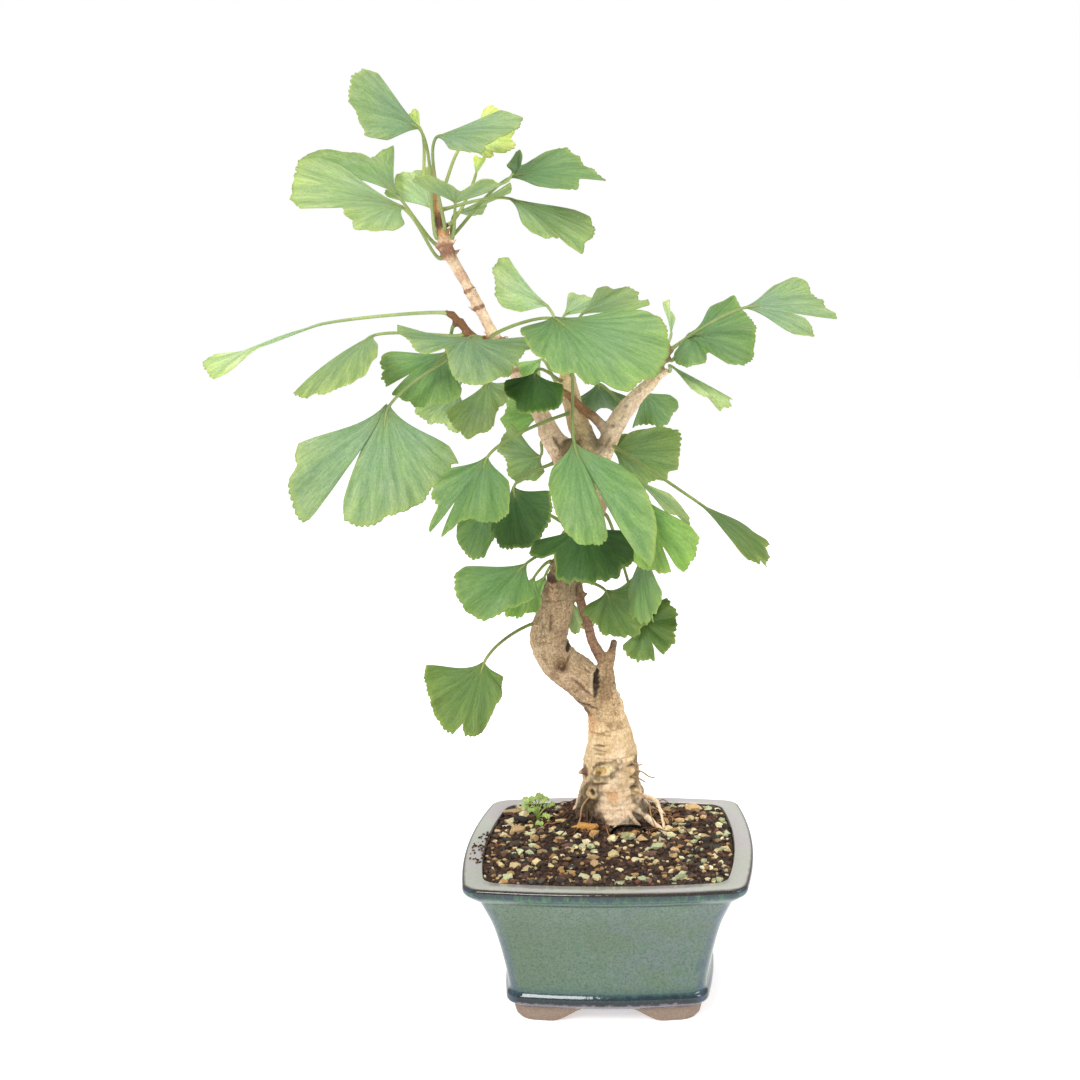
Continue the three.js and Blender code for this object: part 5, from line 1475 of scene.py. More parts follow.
MARKS: tuple[Mark, ...] = (
    # the foot: dirt on its flanks, the bare wood between them, its scars and knots, with painted light and
    # shade
    Mark((-16, 27, 82), (9, 12, 12), tint="33271c", cover=0.95),
    Mark((-13, 25, 93), (5, 8, 9), 20, tint="5a4a2e", cover=0.75),
    Mark((16, 29, 82), (7, 12, 11), tint="3d3022", cover=0.85),
    Mark((4, 22, 76), (12, 9, 3.0), tint="8a6446", cover=0.6),
    Mark((-7.5, 21, 81), (4.6, 6, 5), 0, tint="4a3524", cover=0.85),
    Mark((3, 20, 87.5), (9, 6, 1.2), -4, -0.25, 0.15, "d8ab86", 0.3),
    # painted light: a pale pool where the light falls fullest on the foot's front
    Mark((3, 20, 91), (8, 7, 8), 0, 0.4, tint="ffe6c6", cover=0.6),
    Mark((0.5, 20, 96.5), (3.4, 4, 4.6), 10, 0.5, 0.3, "d39c62", 0.55),
    Mark((2, 20, 112), (4.6, 7, 12), -8, tint="ffeacf", cover=0.55),
    Mark((-10.5, 22.6, 97.6), (6.2, 5, 7.5), 0, -0.5, tint="46351f", cover=0.8),
    Mark((-10.7, 22.6, 97.6), (3.3, 4, 3.6), 0, 0.6, 0.9, "dcc294", 0.85),
    # painted shade inside the knot's sunk hole
    Mark((-10.7, 21.5, 97.6), (1.7, 4, 1.9), 0, -1.6, tint="33261a", cover=0.95),
    # painted shadow under the raised lip above it
    Mark((-7, 20.6, 102.6), (5.4, 4, 0.8), 8, -0.6, tint="5d4428", cover=0.8),
    Mark((-6.6, 20.4, 104.4), (5.6, 3, 1.1), 9, 1.2, tint="ecd5aa", cover=0.7),
    Mark((-3.4, 20, 111), (7.6, 5, 4.7), 26, 0, 1.2, "4f3d22", 0.95),
    Mark((-3.2, 20, 111.3), (6.0, 5, 3.2), 26, -0.6, 0.2, "ecd8ac", 0.97),
    Mark((-5.6, 20.4, 110), (2.9, 4, 2.3), 26, -0.5, 0.2, "b08f54", 0.85),
    # painted shade at the eye scar's lower left
    Mark((-7.0, 20.4, 108.6), (1.6, 3, 1.2), 26, -0.7, tint="6d5530", cover=0.85),
    Mark((-14.8, 27, 108), (2.6, 4, 3.2), 0, 1.6, tint="5e3a34", cover=0.85),
    # the curls on the foot's right: pale raised curls, with painted shade in the sunk dark gaps between them
    Mark((12.5, 28, 104), (2.4, 8, 15), -6, -0.7, tint="665133", cover=0.75),
    Mark((10.2, 24, 115.6), (2.4, 3.5, 1.6), 20, 2.2, 0.2, "ecd8ac", 0.9),
    Mark((10.6, 24, 112), (2.6, 3.5, 0.8), 10, -1.2, tint="57422a", cover=0.85),
    Mark((11.6, 25, 108.6), (2.2, 3.5, 1.7), 0, 2.3, 0.2, "e3cb9c", 0.9),
    Mark((11.4, 24, 105.6), (2.6, 3.5, 0.7), 0, -1.2, tint="57422a", cover=0.85),
    Mark((11.2, 24, 102.8), (2.6, 3.5, 1.6), -10, 2.2, 0.2, "ecd8ac", 0.9),
    Mark((12.0, 24, 99.6), (2.6, 3.5, 0.7), 0, -1.2, tint="57422a", cover=0.85),
    Mark((13.0, 25, 96.8), (2.4, 3.5, 1.7), 0, 2.2, 0.3, "dcc392", 0.9),
    Mark((8.8, 23, 96.5), (1.7, 2, 1.4), 0, 1.1, 0.2, "dcc698", 0.6),
    # knots, cracks and worn patches on the back and the sides
    Mark((-3, 52, 104), (4.4, 4, 5.6), 12, -0.8, 1.0, "8a6d47", 0.8),
    Mark((6, 49, 120), (2.6, 4, 3.2), 0, 1.4, 0.4, "a58458", 0.7),
    Mark((-10, 45, 118), (1.6, 6, 9), -8, -0.7, 0.3, "6f5233", 0.75),
    Mark((3, 44, 134), (16, 6, 0.8), 6, -0.4, 0.3, "7d5f3c", 0.7),
    Mark((0, 54, 88), (12, 8, 5), 0, 0.5, tint="8d7048", cover=0.5),
    Mark((14, 38, 100), (4, 5, 10), -6, -0.5, 0.4, "7a6040", 0.7),
    Mark((-28, 30, 190), (4, 5, 5), 0, -0.8, 0.9, "5c4734", 0.8),
    Mark((-24, 27, 212), (3, 4, 4), 0, 1.2, 0.3, "7a6248", 0.8),
    # cracks that ring the trunk, with a paler sleeve between them
    Mark((-4, 24, 127.5), (16, 16, 5), 0, tint="ecd2a8", cover=0.35),
    Mark((-6.1, 20.6, 124), (4.4, 3, 0.7), 8, -0.5, 0.35, "6f5233", 0.8),
    Mark((-7.2, 20.7, 121.6), (5.0, 3, 0.6), -5, -0.4, 0.3, "7d5f3c", 0.7),
    Mark((-6.6, 20.5, 119.4), (4.2, 3, 0.5), 3, -0.3, 0.25, "8a6a45", 0.6),
    Mark((-6, 22, 130.4), (8, 8, 0.9), -6, -0.35, 0.3, "87643f", 0.6),
    Mark((1, 22, 132.6), (8, 8, 0.7), 9, -0.3, 0.2, "8f6c45", 0.45),
    Mark((2, 20, 136), (5, 5, 2.2), 0, tint="8d7048", cover=0.55),
    Mark((3, 24, 117), (14, 14, 0.45), 1, -0.2, tint="9c7a4e", cover=0.5),
    Mark((-10.6, 23, 135.5), (3.6, 6, 6), 0, tint="dda678", cover=0.5),
    Mark((-0.5, 24, 168), (7, 9, 15), 0, tint="8f7458", cover=0.75),
    Mark((1.2, 27, 178.5), (4, 5, 4), 0, tint="6f5443", cover=0.8),
    # where the lower limb leaves the trunk: a deep crease, and a hollow beside the stub, both darkened with
    # painted shade
    Mark((-2.5, 19, 146), (9, 9, 9), 0, tint="b79a74", cover=0.5),
    Mark((-12, 22, 146.6), (6.5, 5, 0.9), -18, -1.0, 0.4, "5d4730", 0.85),
    Mark((-14, 22.5, 141.5), (2.6, 4, 3.4), 0, -0.7, tint="5d4730", cover=0.75),
    Mark((-3, 19, 156), (4.6, 6, 8), 0, tint="7d6446", cover=0.7),
    Mark((-7.8, 19, 159.4), (1.7, 7, 9.6), -3, -2.6, 0.5, "2b2019", 0.97),
    Mark((-10.2, 19, 160), (0.9, 6, 7.5), -3, 0.8, tint="c3b194", cover=0.6),
    # the lower limb: elbow with painted shade in its crease, hollow, knots and the darker wood above
    Mark((-21.8, 18, 179.6), (1.7, 9, 4.4), -25, -2.0, 0.4, "38291f", 0.95),
    Mark((-25.8, 14, 169), (4.4, 5, 3.8), 0, 0.0, 0.9, "7b6044", 0.75),
    Mark((-25.4, 14, 168.6), (2.4, 4, 2.0), 0, -0.9, 0.7, "4f3a28", 0.85),
    Mark((-25.8, 14, 169.2), (1.1, 3, 0.9), 0, 0.6, tint="a58a66", cover=0.8),
    Mark((-22.4, 15, 173), (0.7, 5, 3.0), -20, -0.4, 0.3, "6e5238", 0.7),
    Mark((-36, 16, 186), (0.9, 5, 6), -12, -0.5, 0.3, "6b5238", 0.75),
    Mark((-31, 13, 192), (0.8, 5, 5), -6, -0.5, 0.3, "6b5238", 0.75),
    Mark((-34, 14, 171), (0.9, 5, 4), 30, -0.5, 0.3, "6b5238", 0.75),
    Mark((-18, 16, 160), (5, 5, 0.7), -35, -0.5, 0.3, "66492f", 0.75),
    Mark((-13, 16, 155), (4, 5, 0.7), -38, -0.5, 0.3, "66492f", 0.75),
    Mark((-30, 15, 163), (3.0, 5, 3.0), 0, tint="7a5e3e", cover=0.5),
    Mark((-37, 20, 178), (8, 12, 13), 0, tint="dcc4a4", cover=0.7),
    Mark((-26, 18, 213), (13, 13, 9.5), 0, tint="6d5f42", cover=0.72),
    Mark((-29, 14, 204.5), (7, 8, 0.8), 8, -0.3, 0.3, "5c4c34", 0.5),
    Mark((-29.4, 11.8, 209.5), (2.4, 5, 6), 4, 0.7, tint="c9a88c", cover=0.8),
    Mark((-29.9, 11.6, 216.5), (3.0, 4, 2.8), 0, -0.9, 1.0, "543a2c", 0.85),
    Mark((-23.8, 8, 224), (4.8, 4, 5.0), 0, tint="9aa257", cover=0.8),
    Mark((-23.8, 7.6, 224), (3.2, 3.4, 3.4), 0, -1.0, 0.9, "65492f", 0.9),
    Mark((-22, 13, 232), (12, 12, 8), 0, tint="8b7a58", cover=0.5),
    # the fork and the limbs above it
    Mark((-4, 9, 290), (6, 8, 9), 0, -0.4, tint="5b563c", cover=0.75),
    Mark((-10, 6, 279), (9, 7, 5), 0, 0.7, tint="9d805e", cover=0.5),
    Mark((-17, 3, 283), (4.5, 5, 4), 0, 0.6, 0.6, "6c5538", 0.7),
    # painted light: a pale pinkish patch on the right limb, where it is lit
    Mark((5, 8, 301), (9, 8, 16), -32, tint="f6dcc4", cover=0.6),
    Mark((9, 8, 306), (1.3, 4, 1.0), 0, -0.3, 0.3, "7a5638", 0.5),
    Mark((2, 6, 296), (1.6, 3, 1.2), 0, -0.3, 0.3, "8a6444", 0.5),
    Mark((16, 8, 314), (0.8, 3, 1.6), -30, -0.3, 0.2, "8f6c4c", 0.4),
    # growth rings and buds up the left limb
    Mark((-47, 3, 324), (5, 5, 1.2), 20, 0.5, 0.0, "8a5f3e", 0.7),
    Mark((-54.8, 2, 339), (5, 5, 1.6), 20, 0.8, 0.0, "8f6138", 0.8),
    Mark((-57.3, 1, 345), (4, 4, 5), 0, tint="e8cfae", cover=0.6),
    Mark((-64.1, 1, 355.5), (5, 5, 1.3), 25, 0.9, 0.0, "7d4f34", 0.8),
    Mark((-68.8, 0, 364), (5, 5, 1.1), 25, 0.7, 0.0, "85553a", 0.8),
    Mark((-72.4, 0, 371), (4, 4, 4), 0, tint="b98f78", cover=0.6),
    Mark((-79, -1, 384), (6, 6, 4.5), 20, 0.8, 0.0, "84503a", 0.8),
    Mark((-81, -1, 397), (4, 4, 5), 0, 0.2, 0.0, "4b3325", 0.85),
    # flecks and cracks of the limbs' older bark
    Mark((-15, 2, 272), (1.2, 3, 3.4), 35, -0.5, 0.3, "4f3c28", 0.85),
    Mark((-21, 2, 279), (1.0, 3, 4.0), 30, -0.4, 0.3, "5c4730", 0.8),
    Mark((-26, 1, 288), (0.9, 3, 3.4), 30, -0.4, 0.3, "5c4730", 0.8),
    Mark((-12, 3, 266), (3.0, 3, 1.2), 0, -0.5, 0.4, "5a432c", 0.8),
    Mark((0, 5, 288), (0.6, 3, 2.6), -30, -0.3, 0.2, "6b5238", 0.6),
    Mark((6.8, 6, 299.5), (0.5, 3, 2.0), -35, -0.3, 0.2, "7d5f44", 0.4),
)

ROOTS: tuple[Limb, ...] = (  # roots and dead stubs that leave the foot above the soil
    ((12, 31, 93, 1.5), (18, 28, 93.5, 1.3), (23.5, 25, 92, 1.2), (26.5, 22, 86, 1.1), (28, 19, 78, 0.9),
     (29, 17, 72, 0.8)),
    ((11, 25, 89, 1.9), (16.5, 21, 86, 1.6), (22, 17.5, 82.5, 1.3), (29, 13, 78, 1.1), (33, 11, 74, 0.9)),
    ((9, 24, 86, 1.3), (13, 19, 82, 1.1), (17, 16, 78, 0.9), (20, 14, 73, 0.8)),
    ((14, 33, 88, 1.5), (22, 34, 84, 1.3), (30, 36, 79, 1.1), (37, 37, 74, 0.9)),
    ((-13, 27, 108, 1.6), (-15.6, 26, 108.2, 1.5), (-17.6, 25.4, 107.8, 1.1)),
    ((3, 50, 88, 2.4), (6, 56, 82, 2.0), (9, 61, 77, 1.4)),
    ((-9, 50, 87, 2.4), (-14, 55, 81, 1.9), (-20, 59, 76.5, 1.3)),
)

BUDS: tuple[tuple[Point, Point, float], ...] = (  # bud scales and short spurs: (foot, tip, radius)
    ((-79, -1, 383), (-84.5, -4, 386), 1.3), ((-78, -2, 386), (-73.5, -6, 389), 1.2),
    ((-80, -2, 388), (-86, -1, 392), 1.2), ((-77, -1, 381), (-72.5, 1, 384.5), 1.1),
    ((-79, -3, 384), (-81.5, -7.5, 384), 1.2), ((-80, -1, 390), (-76.4, -3.6, 395), 1.0),
    ((-80, 0, 391), (-84, 1, 396.5), 1.0), ((-76, -2, 379), (-78.6, -5.6, 377), 1.0),
    ((-63.5, 0, 354), (-69, -2, 356), 1.2), ((-68.3, -1, 363), (-64.3, -4, 365.5), 1.1),
    ((-54, 1, 339), (-49.4, -2, 341), 1.2), ((-46, 2, 323), (-50, -1, 325.5), 1.1),
    ((-57, 2, 342), (-61.5, 0, 343.5), 1.0), ((-20, 20, 212), (-8, 17, 215), 0.7),
    ((-76, -6, 351), (-79.5, -7.5, 354.5), 1.3), ((-70, -4, 346), (-71.5, -6, 350.5), 1.1),
    ((-15.4, 21, 205), (-11.4, 19.5, 207.5), 1.0), ((-12.6, 22.6, 188), (-16, 21.2, 190), 1.0),
)


@dataclass
class Wood:
    """The tree's wood, one grown piece from the root flare to the topmost twig."""

    bark: bpy.types.Material
    voxel: float = 0.66
    smoothing: int = 5
    samples: int = 90
    sides: int = 20
    foot_rows: int = 46
    block: int = 3000
    bud_radii: tuple[float, ...] = (1.1, 1.1, 1.0, 0.85, 0.65, 0.42)
    spur_radii: tuple[float, ...] = (2.1, 2.1, 2.0, 1.9, 1.75, 1.6, 1.35, 1.1)

    def lean(self, heights: np.ndarray) -> np.ndarray:
        """How far back the middle of the foot lies at each height: it leans forwards above the soil."""
        return FOOT_Y - np.maximum(heights - SOIL_LEVEL, 0) / 6

    def foot(self) -> bpy.types.Mesh:
        """The root flare: a round stump whose lobes run out into the roots."""
        heights = np.linspace(FLARE[0][0], FLARE[-1][0], self.foot_rows)
        level, wide, lobed = np.array(FLARE).T
        radius = np.pad(np.interp(heights, level, wide), 1)
        lobing = np.pad(np.interp(heights, level, lobed), 1)
        heights = np.pad(heights, 1, "edge")
        mesh, around, row = round_grid("foot", 96, len(heights) - 1)
        degrees = 360 * around
        swell = 1 - 0.1 * lobing[row]
        for towards, share, width in LOBES:
            turn = (degrees - towards + 540) % 360 - 180
            swell = swell + share * np.exp(-((turn / width) ** 2))
        reach = radius[row] * (1 + (swell - 1) * lobing[row])
        angle = np.radians(degrees)
        move_points(mesh, np.column_stack([
            FOOT_X + reach * np.cos(angle), self.lean(heights[row]) + reach * np.sin(angle), heights[row]]))
        weld(mesh)
        return mesh

    def rough_form(self) -> bpy.types.Mesh:
        """Foot, limbs, roots and buds as one heap of closed tubes."""
        meshes = [self.foot()]
        meshes += [limb_tube(name, limb, 12 * len(limb), self.sides) for name, limb in LIMBS.items()]
        meshes += [limb_tube("root", root, 24, 12) for root in ROOTS]
        for foot, tip, radius in BUDS:
            path = np.linspace(foot, tip, len(self.bud_radii))
            meshes.append(tube("bud", path, radius * np.array(self.bud_radii), 10))
        for leaf in LEAVES.values():
            heart, start, out = stalk_start(leaf)
            places = np.linspace(0, 1, len(self.spur_radii))[:, None]
            path = heart + (start - GAP * out - heart) * places
            meshes.append(tube("bud", path, np.array(self.spur_radii), 12))
        return join("wood", meshes)

    def fused(self, rough: bpy.types.Mesh) -> bpy.types.Mesh:
        """The heap grown together into one skin of even, small faces."""
        lump = bpy.data.objects.new("wood_form", rough)
        bpy.context.scene.collection.objects.link(lump)
        skin = lump.modifiers.new("skin", "REMESH")
        skin.mode = "VOXEL"
        skin.voxel_size = self.voxel
        ease = lump.modifiers.new("ease", "SMOOTH")
        ease.iterations = self.smoothing
        graph = bpy.context.evaluated_depsgraph_get()
        mesh = bpy.data.meshes.new_from_object(lump.evaluated_get(graph))
        bpy.data.objects.remove(lump)
        bpy.data.meshes.remove(rough)
        return mesh

    def axes(self) -> dict[str, tuple[np.ndarray, np.ndarray]]:
        """Points and radii along the axis of the foot and of each limb."""
        places = np.linspace(0, 1, self.samples)
        found = {name: (curve.at(places), curve.radius(places)) for name, curve in CURVES.items()}
        heights = np.linspace(60, 96, 30)
        column = np.column_stack([np.full_like(heights, FOOT_X), self.lean(heights), heights])
        found["foot"] = (column, np.interp(heights, *np.array(FLARE).T[:2]))
        return found

    def grain_and_tint(self, points: np.ndarray) -> tuple[np.ndarray, np.ndarray]:
        """Fibre coordinates and tint of each point, from the limb that it lies on.

        Args:
            points: the surface's points, one a row.

        Returns:
            Rows of (round, round, along) in millimetres, and rows of linear colour.
        """
        nearest, grains, tints = [], [], []
        for name, (axis, radii) in self.axes().items():
            away = np.linalg.norm(points[:, None, :] - axis[None], axis=2) / radii
            best = away.argmin(axis=1)
            nearest.append(away[np.arange(len(points)), best])
            tangent = unit(np.gradient(axis, axis=0))[best]
            offset = points - axis[best]
            offset -= tangent * np.sum(offset * tangent, axis=1, keepdims=True)
            length = np.concatenate([[0], np.cumsum(np.linalg.norm(np.diff(axis, axis=0), axis=1))])[best]
            grains.append(np.column_stack([offset[:, 0], offset[:, 1] + offset[:, 2], length]))
            tints.append(linear(LIMB_TINTS[name]))
        share = np.array(nearest)
        weight = np.exp(-9 * (share - share.min(axis=0)))
        weight /= weight.sum(axis=0)
        picked = share.argmin(axis=0)
        grain = np.array(grains)[picked, np.arange(len(points))]
        return grain, weight.T @ np.array(tints)

    def relief(self, points: np.ndarray, grain: np.ndarray) -> np.ndarray:
        """How far each point is lifted by fibres, lumps and growth rings."""
        lifts = []
        for place, fibre in zip(points, grain):
            lump = noise.noise(Vector(place * 0.14))
            warts = noise.noise(Vector(place * 0.42 + 7))
            streak = noise.noise(Vector((fibre[0] * 0.5, fibre[1] * 0.5, fibre[2] * 0.1)))
            ring = noise.noise(Vector((fibre[0] * 0.1, fibre[1] * 0.1, fibre[2] * 0.6 + 20)))
            lifts.append(0.6 * lump + 0.45 * warts + 0.22 * streak + 0.22 * ring)
        return np.array(lifts)

    def build(self) -> bpy.types.Object:
        """Makes the wood and places it."""
        mesh = self.fused(self.rough_form())
        points, out = coordinates(mesh), normals(mesh)
        wobble = np.array([noise.noise(Vector(point * 0.5)) for point in points])
        blocks = (points[i : i + self.block] for i in range(0, len(points), self.block))
        grain, tint = (np.vstack(rows) for rows in zip(*map(self.grain_and_tint, blocks)))
        girth = np.clip(np.hypot(grain[:, 0], grain[:, 1]) / 6, 0.3, 1.2)
        lift = self.relief(points, grain) * girth
        for mark in MARKS:
            reach = mark.reach(points) * (1 + 0.35 * wobble)
            lift += mark.lift * np.exp(-((reach / 0.62) ** 2))
            lift += mark.rim * np.exp(-(((reach - 1) / 0.2) ** 2))
            if mark.tint:
                crisp = min(max(60 / min(mark.size[0], mark.size[2]), 6), 20)
                cover = (mark.cover / (1 + np.exp(crisp * (reach - 1))))[:, None]
                tint = tint + (np.array(linear(mark.tint)) - tint) * cover
        move_points(mesh, points + out * lift[:, None])
        put_vectors(mesh, "grain", grain)
        put_vectors(mesh, "tint", tint)
        return add_piece("ginkgo_wood", mesh, [self.bark], ["trunk"])


# ---------------------------------------------------------------- leaves

BUD_LENGTH = 1.8
CURVES = {name: Path(limb) for name, limb in LIMBS.items()}


def stalk_start(leaf: Leaf) -> tuple[np.ndarray, np.ndarray, np.ndarray]:
    """Where a leaf's stalk starts: on a bud that stands out of the limb towards the blade.

    Args:
        leaf: the leaf.

    Returns:
        The limb's axis there, the bud's end, and the bud's direction.
    """
    curve = CURVES[leaf.limb]
    heart = curve.at(np.array([leaf.place]))[0]
    towards = unit(np.array(leaf.out, float))
    if leaf.place < 1:
        along = curve.tangent(leaf.place)
        towards = unit(towards - 0.6 * along * towards.dot(along))
    radius = float(curve.radius(np.array([leaf.place]))[0])
    return heart, heart + towards * (radius + BUD_LENGTH), towards


@dataclass
class Blade:
    """One leaf's blade and stalk, bent and rippled as it grew."""

    name: str
    leaf: Leaf
    number: int
    tissue: bpy.types.Material
    thick: float = 0.4
    start: float = 0.03
    stalk_meets: float = 0.1
    stalk_ends: float = 0.2
    waist: float = 0.5
    tooth: float = 2.6
    tooth_depth: float = 1.35
    lobe: float = 8.5
    lobe_depth: float = 0.9
    pleat: float = 0.3
    spacing: float = 0.5
    rows: int = 14
    stalk_tint: str = "a9a24e"
    seed: float = field(init=False)
    length: float = field(init=False)
    base: np.ndarray = field(init=False)
    along: np.ndarray = field(init=False)
    across: np.ndarray = field(init=False)
    normal: np.ndarray = field(init=False)

    def __post_init__(self) -> None:
        """Works out the blade's own frame: along from base to tip, across, and out of its upper face."""
        leaf = self.leaf
        self.seed = 1.7 * self.number
        self.base = np.array(leaf.base, float)
        chord = np.array(leaf.tip, float) - self.base
        self.along = unit(chord)
        level = unit(np.cross((0.0, 1.0, 0.0), self.along))
        facing = np.cross(level, self.along)
        turn = math.radians(leaf.roll)
        self.across = level * math.cos(turn) - facing * math.sin(turn)
        self.normal = np.cross(self.across, self.along)
        half = math.radians(leaf.bend) / 2
        self.length = float(np.linalg.norm(chord)) * half / math.sin(half)

    def fan_radius(self, direction: np.ndarray) -> np.ndarray:
        """The fan's radius in each direction, as a share of the leaf's length."""
        leaf = self.leaf
        spread = np.where(direction < 0, leaf.spread[1], leaf.spread[0])
        share = np.abs(direction) / spread
        teeth = 1 + self.crenation(direction) * (1 - share**8)
        if leaf.outline:
            return np.interp(direction, *np.array(leaf.outline).T) * teeth
        waves = 0.022 * np.sin(direction * 0.31 + self.seed)
        waves = waves + 0.018 * np.sin(direction * 0.63 + 2.1 * self.seed)
        corner = 1 - 0.05 * share**2 - 0.2 * share**10
        cleft = np.ones_like(direction)
        for at, depth, half_width in leaf.clefts:
            near = np.maximum(0, 1 - np.abs(direction - at) / half_width)
            cleft = cleft * (1 - depth * near)
        outer = np.where(direction < 0, leaf.reach[1], leaf.reach[0])
        lobe = 1 + (outer - 1) * np.minimum(1, 1.4 * share)
        return corner * (1 + waves) * cleft * lobe * teeth

    def crenation(self, direction: np.ndarray) -> np.ndarray:
        """Teeth of the far margin: rounded, uneven, with sharp notches between them."""
        arc = np.radians(direction) * self.length
        drift = 0.8 * np.sin(arc / 7.3 + self.seed) + 0.5 * np.sin(arc / 3.1 + 2.7 * self.seed)
        size = 0.6 + 0.4 * np.sin(arc / 6.1 + 1.9 * self.seed)
        teeth = size * (np.abs(np.sin(math.pi * arc / self.tooth + drift)) ** 0.8 - 1)
        lobes = np.abs(np.sin(math.pi * arc / self.lobe + 0.6 * drift + self.seed)) ** 0.7 - 1
        return (self.tooth_depth * teeth + self.lobe_depth * lobes) / self.length

    def surface(self, share: np.ndarray, direction: np.ndarray) -> np.ndarray:
        """Points of the blade's mid-surface.

        Args:
            share: shares of the radius, from 0 at the stalk to 1 at the margin.
            direction: directions in the fan, in degrees.

        Returns:
            One point a row.
        """
        leaf, length = self.leaf, self.length
        radius = share * length * self.fan_radius(direction)
        angle = np.radians(direction) * (1 - self.waist * (1 - share) ** 2)
        flat_along, flat_across = radius * np.cos(angle), radius * np.sin(angle)
        ripple = leaf.ripple * share**2 * np.sin(direction * 0.16 + self.seed)
        arc = np.radians(direction) * length
        ripple = ripple + self.pleat * share**1.5 * np.sin(arc / 1.9 + 1.2 * np.sin(arc / 8 + self.seed))
        ripple = ripple + 0.5 * np.maximum(share - 0.6, 0) ** 1.5 * 4 * np.sin(arc / 3.3 + 3 * self.seed)
        cupping = math.radians(leaf.cup) / length
        across = np.sin(cupping * flat_across) / cupping
        lift = (1 - np.cos(cupping * flat_across)) / cupping + ripple
        bending = math.radians(leaf.bend) / length
        turn = bending * flat_along
        arc_along = np.sin(turn) / bending + lift * np.sin(turn)
        arc_up = -(1 - np.cos(turn)) / bending + lift * np.cos(turn)
        level = math.radians(leaf.bend) / 2
        along_out = arc_along * math.cos(level) - arc_up * math.sin(level)
        up = arc_along * math.sin(level) + arc_up * math.cos(level)
        twist = math.radians(leaf.twist) * (flat_along / length) ** 3
        sideways = (across * np.cos(twist) - up * np.sin(twist))[:, None]
        upwards = (across * np.sin(twist) + up * np.cos(twist))[:, None]
        return self.base + along_out[:, None] * self.along + sideways * self.across + upwards * self.normal

    def blade(self) -> bpy.types.Mesh:
        """The blade, as a thin closed solid with its tint and fan coordinates."""
        right, left = self.leaf.spread
        arc = math.radians(right + left) * self.length
        columns = int(min(max(arc / self.spacing, 40), 230))
        mesh = unit_grid("blade", columns, self.rows)
        flat = coordinates(mesh)
        direction = -left + (left + right) * flat[:, 0]
        share = self.start + (1 - self.start) * (1 - (1 - flat[:, 1]) ** 1.35)
        move_points(mesh, self.surface(share, direction))
        reach = share * self.length * self.fan_radius(direction)
        ribs = np.radians(direction) * self.length
        put_vectors(mesh, "fan", np.column_stack([ribs, reach, share]))
        put_vectors(mesh, "tint", linear(self.leaf.tone.value))
        thicken(mesh, self.thick)
        return mesh

    def stalk(self) -> bpy.types.Mesh:
        """The stalk, from its bud into the blade."""
        _, start, out = stalk_start(self.leaf)
        shares = np.linspace(self.stalk_meets, self.stalk_ends, 5)
        sunk = self.surface(shares, np.zeros(5))
        root, entry = sunk[0], unit(sunk[1] - sunk[0])
        gap = float(np.linalg.norm(root - start))
        rise, fall = min(0.14 * gap, 5.0), min(0.32 * gap, 12.0)
        path = np.vstack([bezier((start, start + out * rise, root - entry * fall, root), 22)[:-1], sunk])
        radii = np.concatenate([np.linspace(0.95, 0.72, 21), np.linspace(0.7, 0.3, 5)])
        radii[:3] = (1.15, 1.05, 0.98)
        mesh = tube("stalk", path, radii, 8)
        put_vectors(mesh, "fan", (0, 0, 0))
        tone, dry = (np.array(linear(tint)) for tint in (self.leaf.tone.value, self.stalk_tint))
        put_vectors(mesh, "tint", 0.6 * tone + 0.4 * dry)
        return mesh

    def build(self) -> bpy.types.Object:
        """Makes the leaf and places it."""
        mesh = join("leaf", [self.blade(), self.stalk()])
        return add_piece(f"ginkgo_leaf_{self.name}", mesh, [self.tissue], [f"leaf_{self.name}"])


# ---------------------------------------------------------------- weed and wire


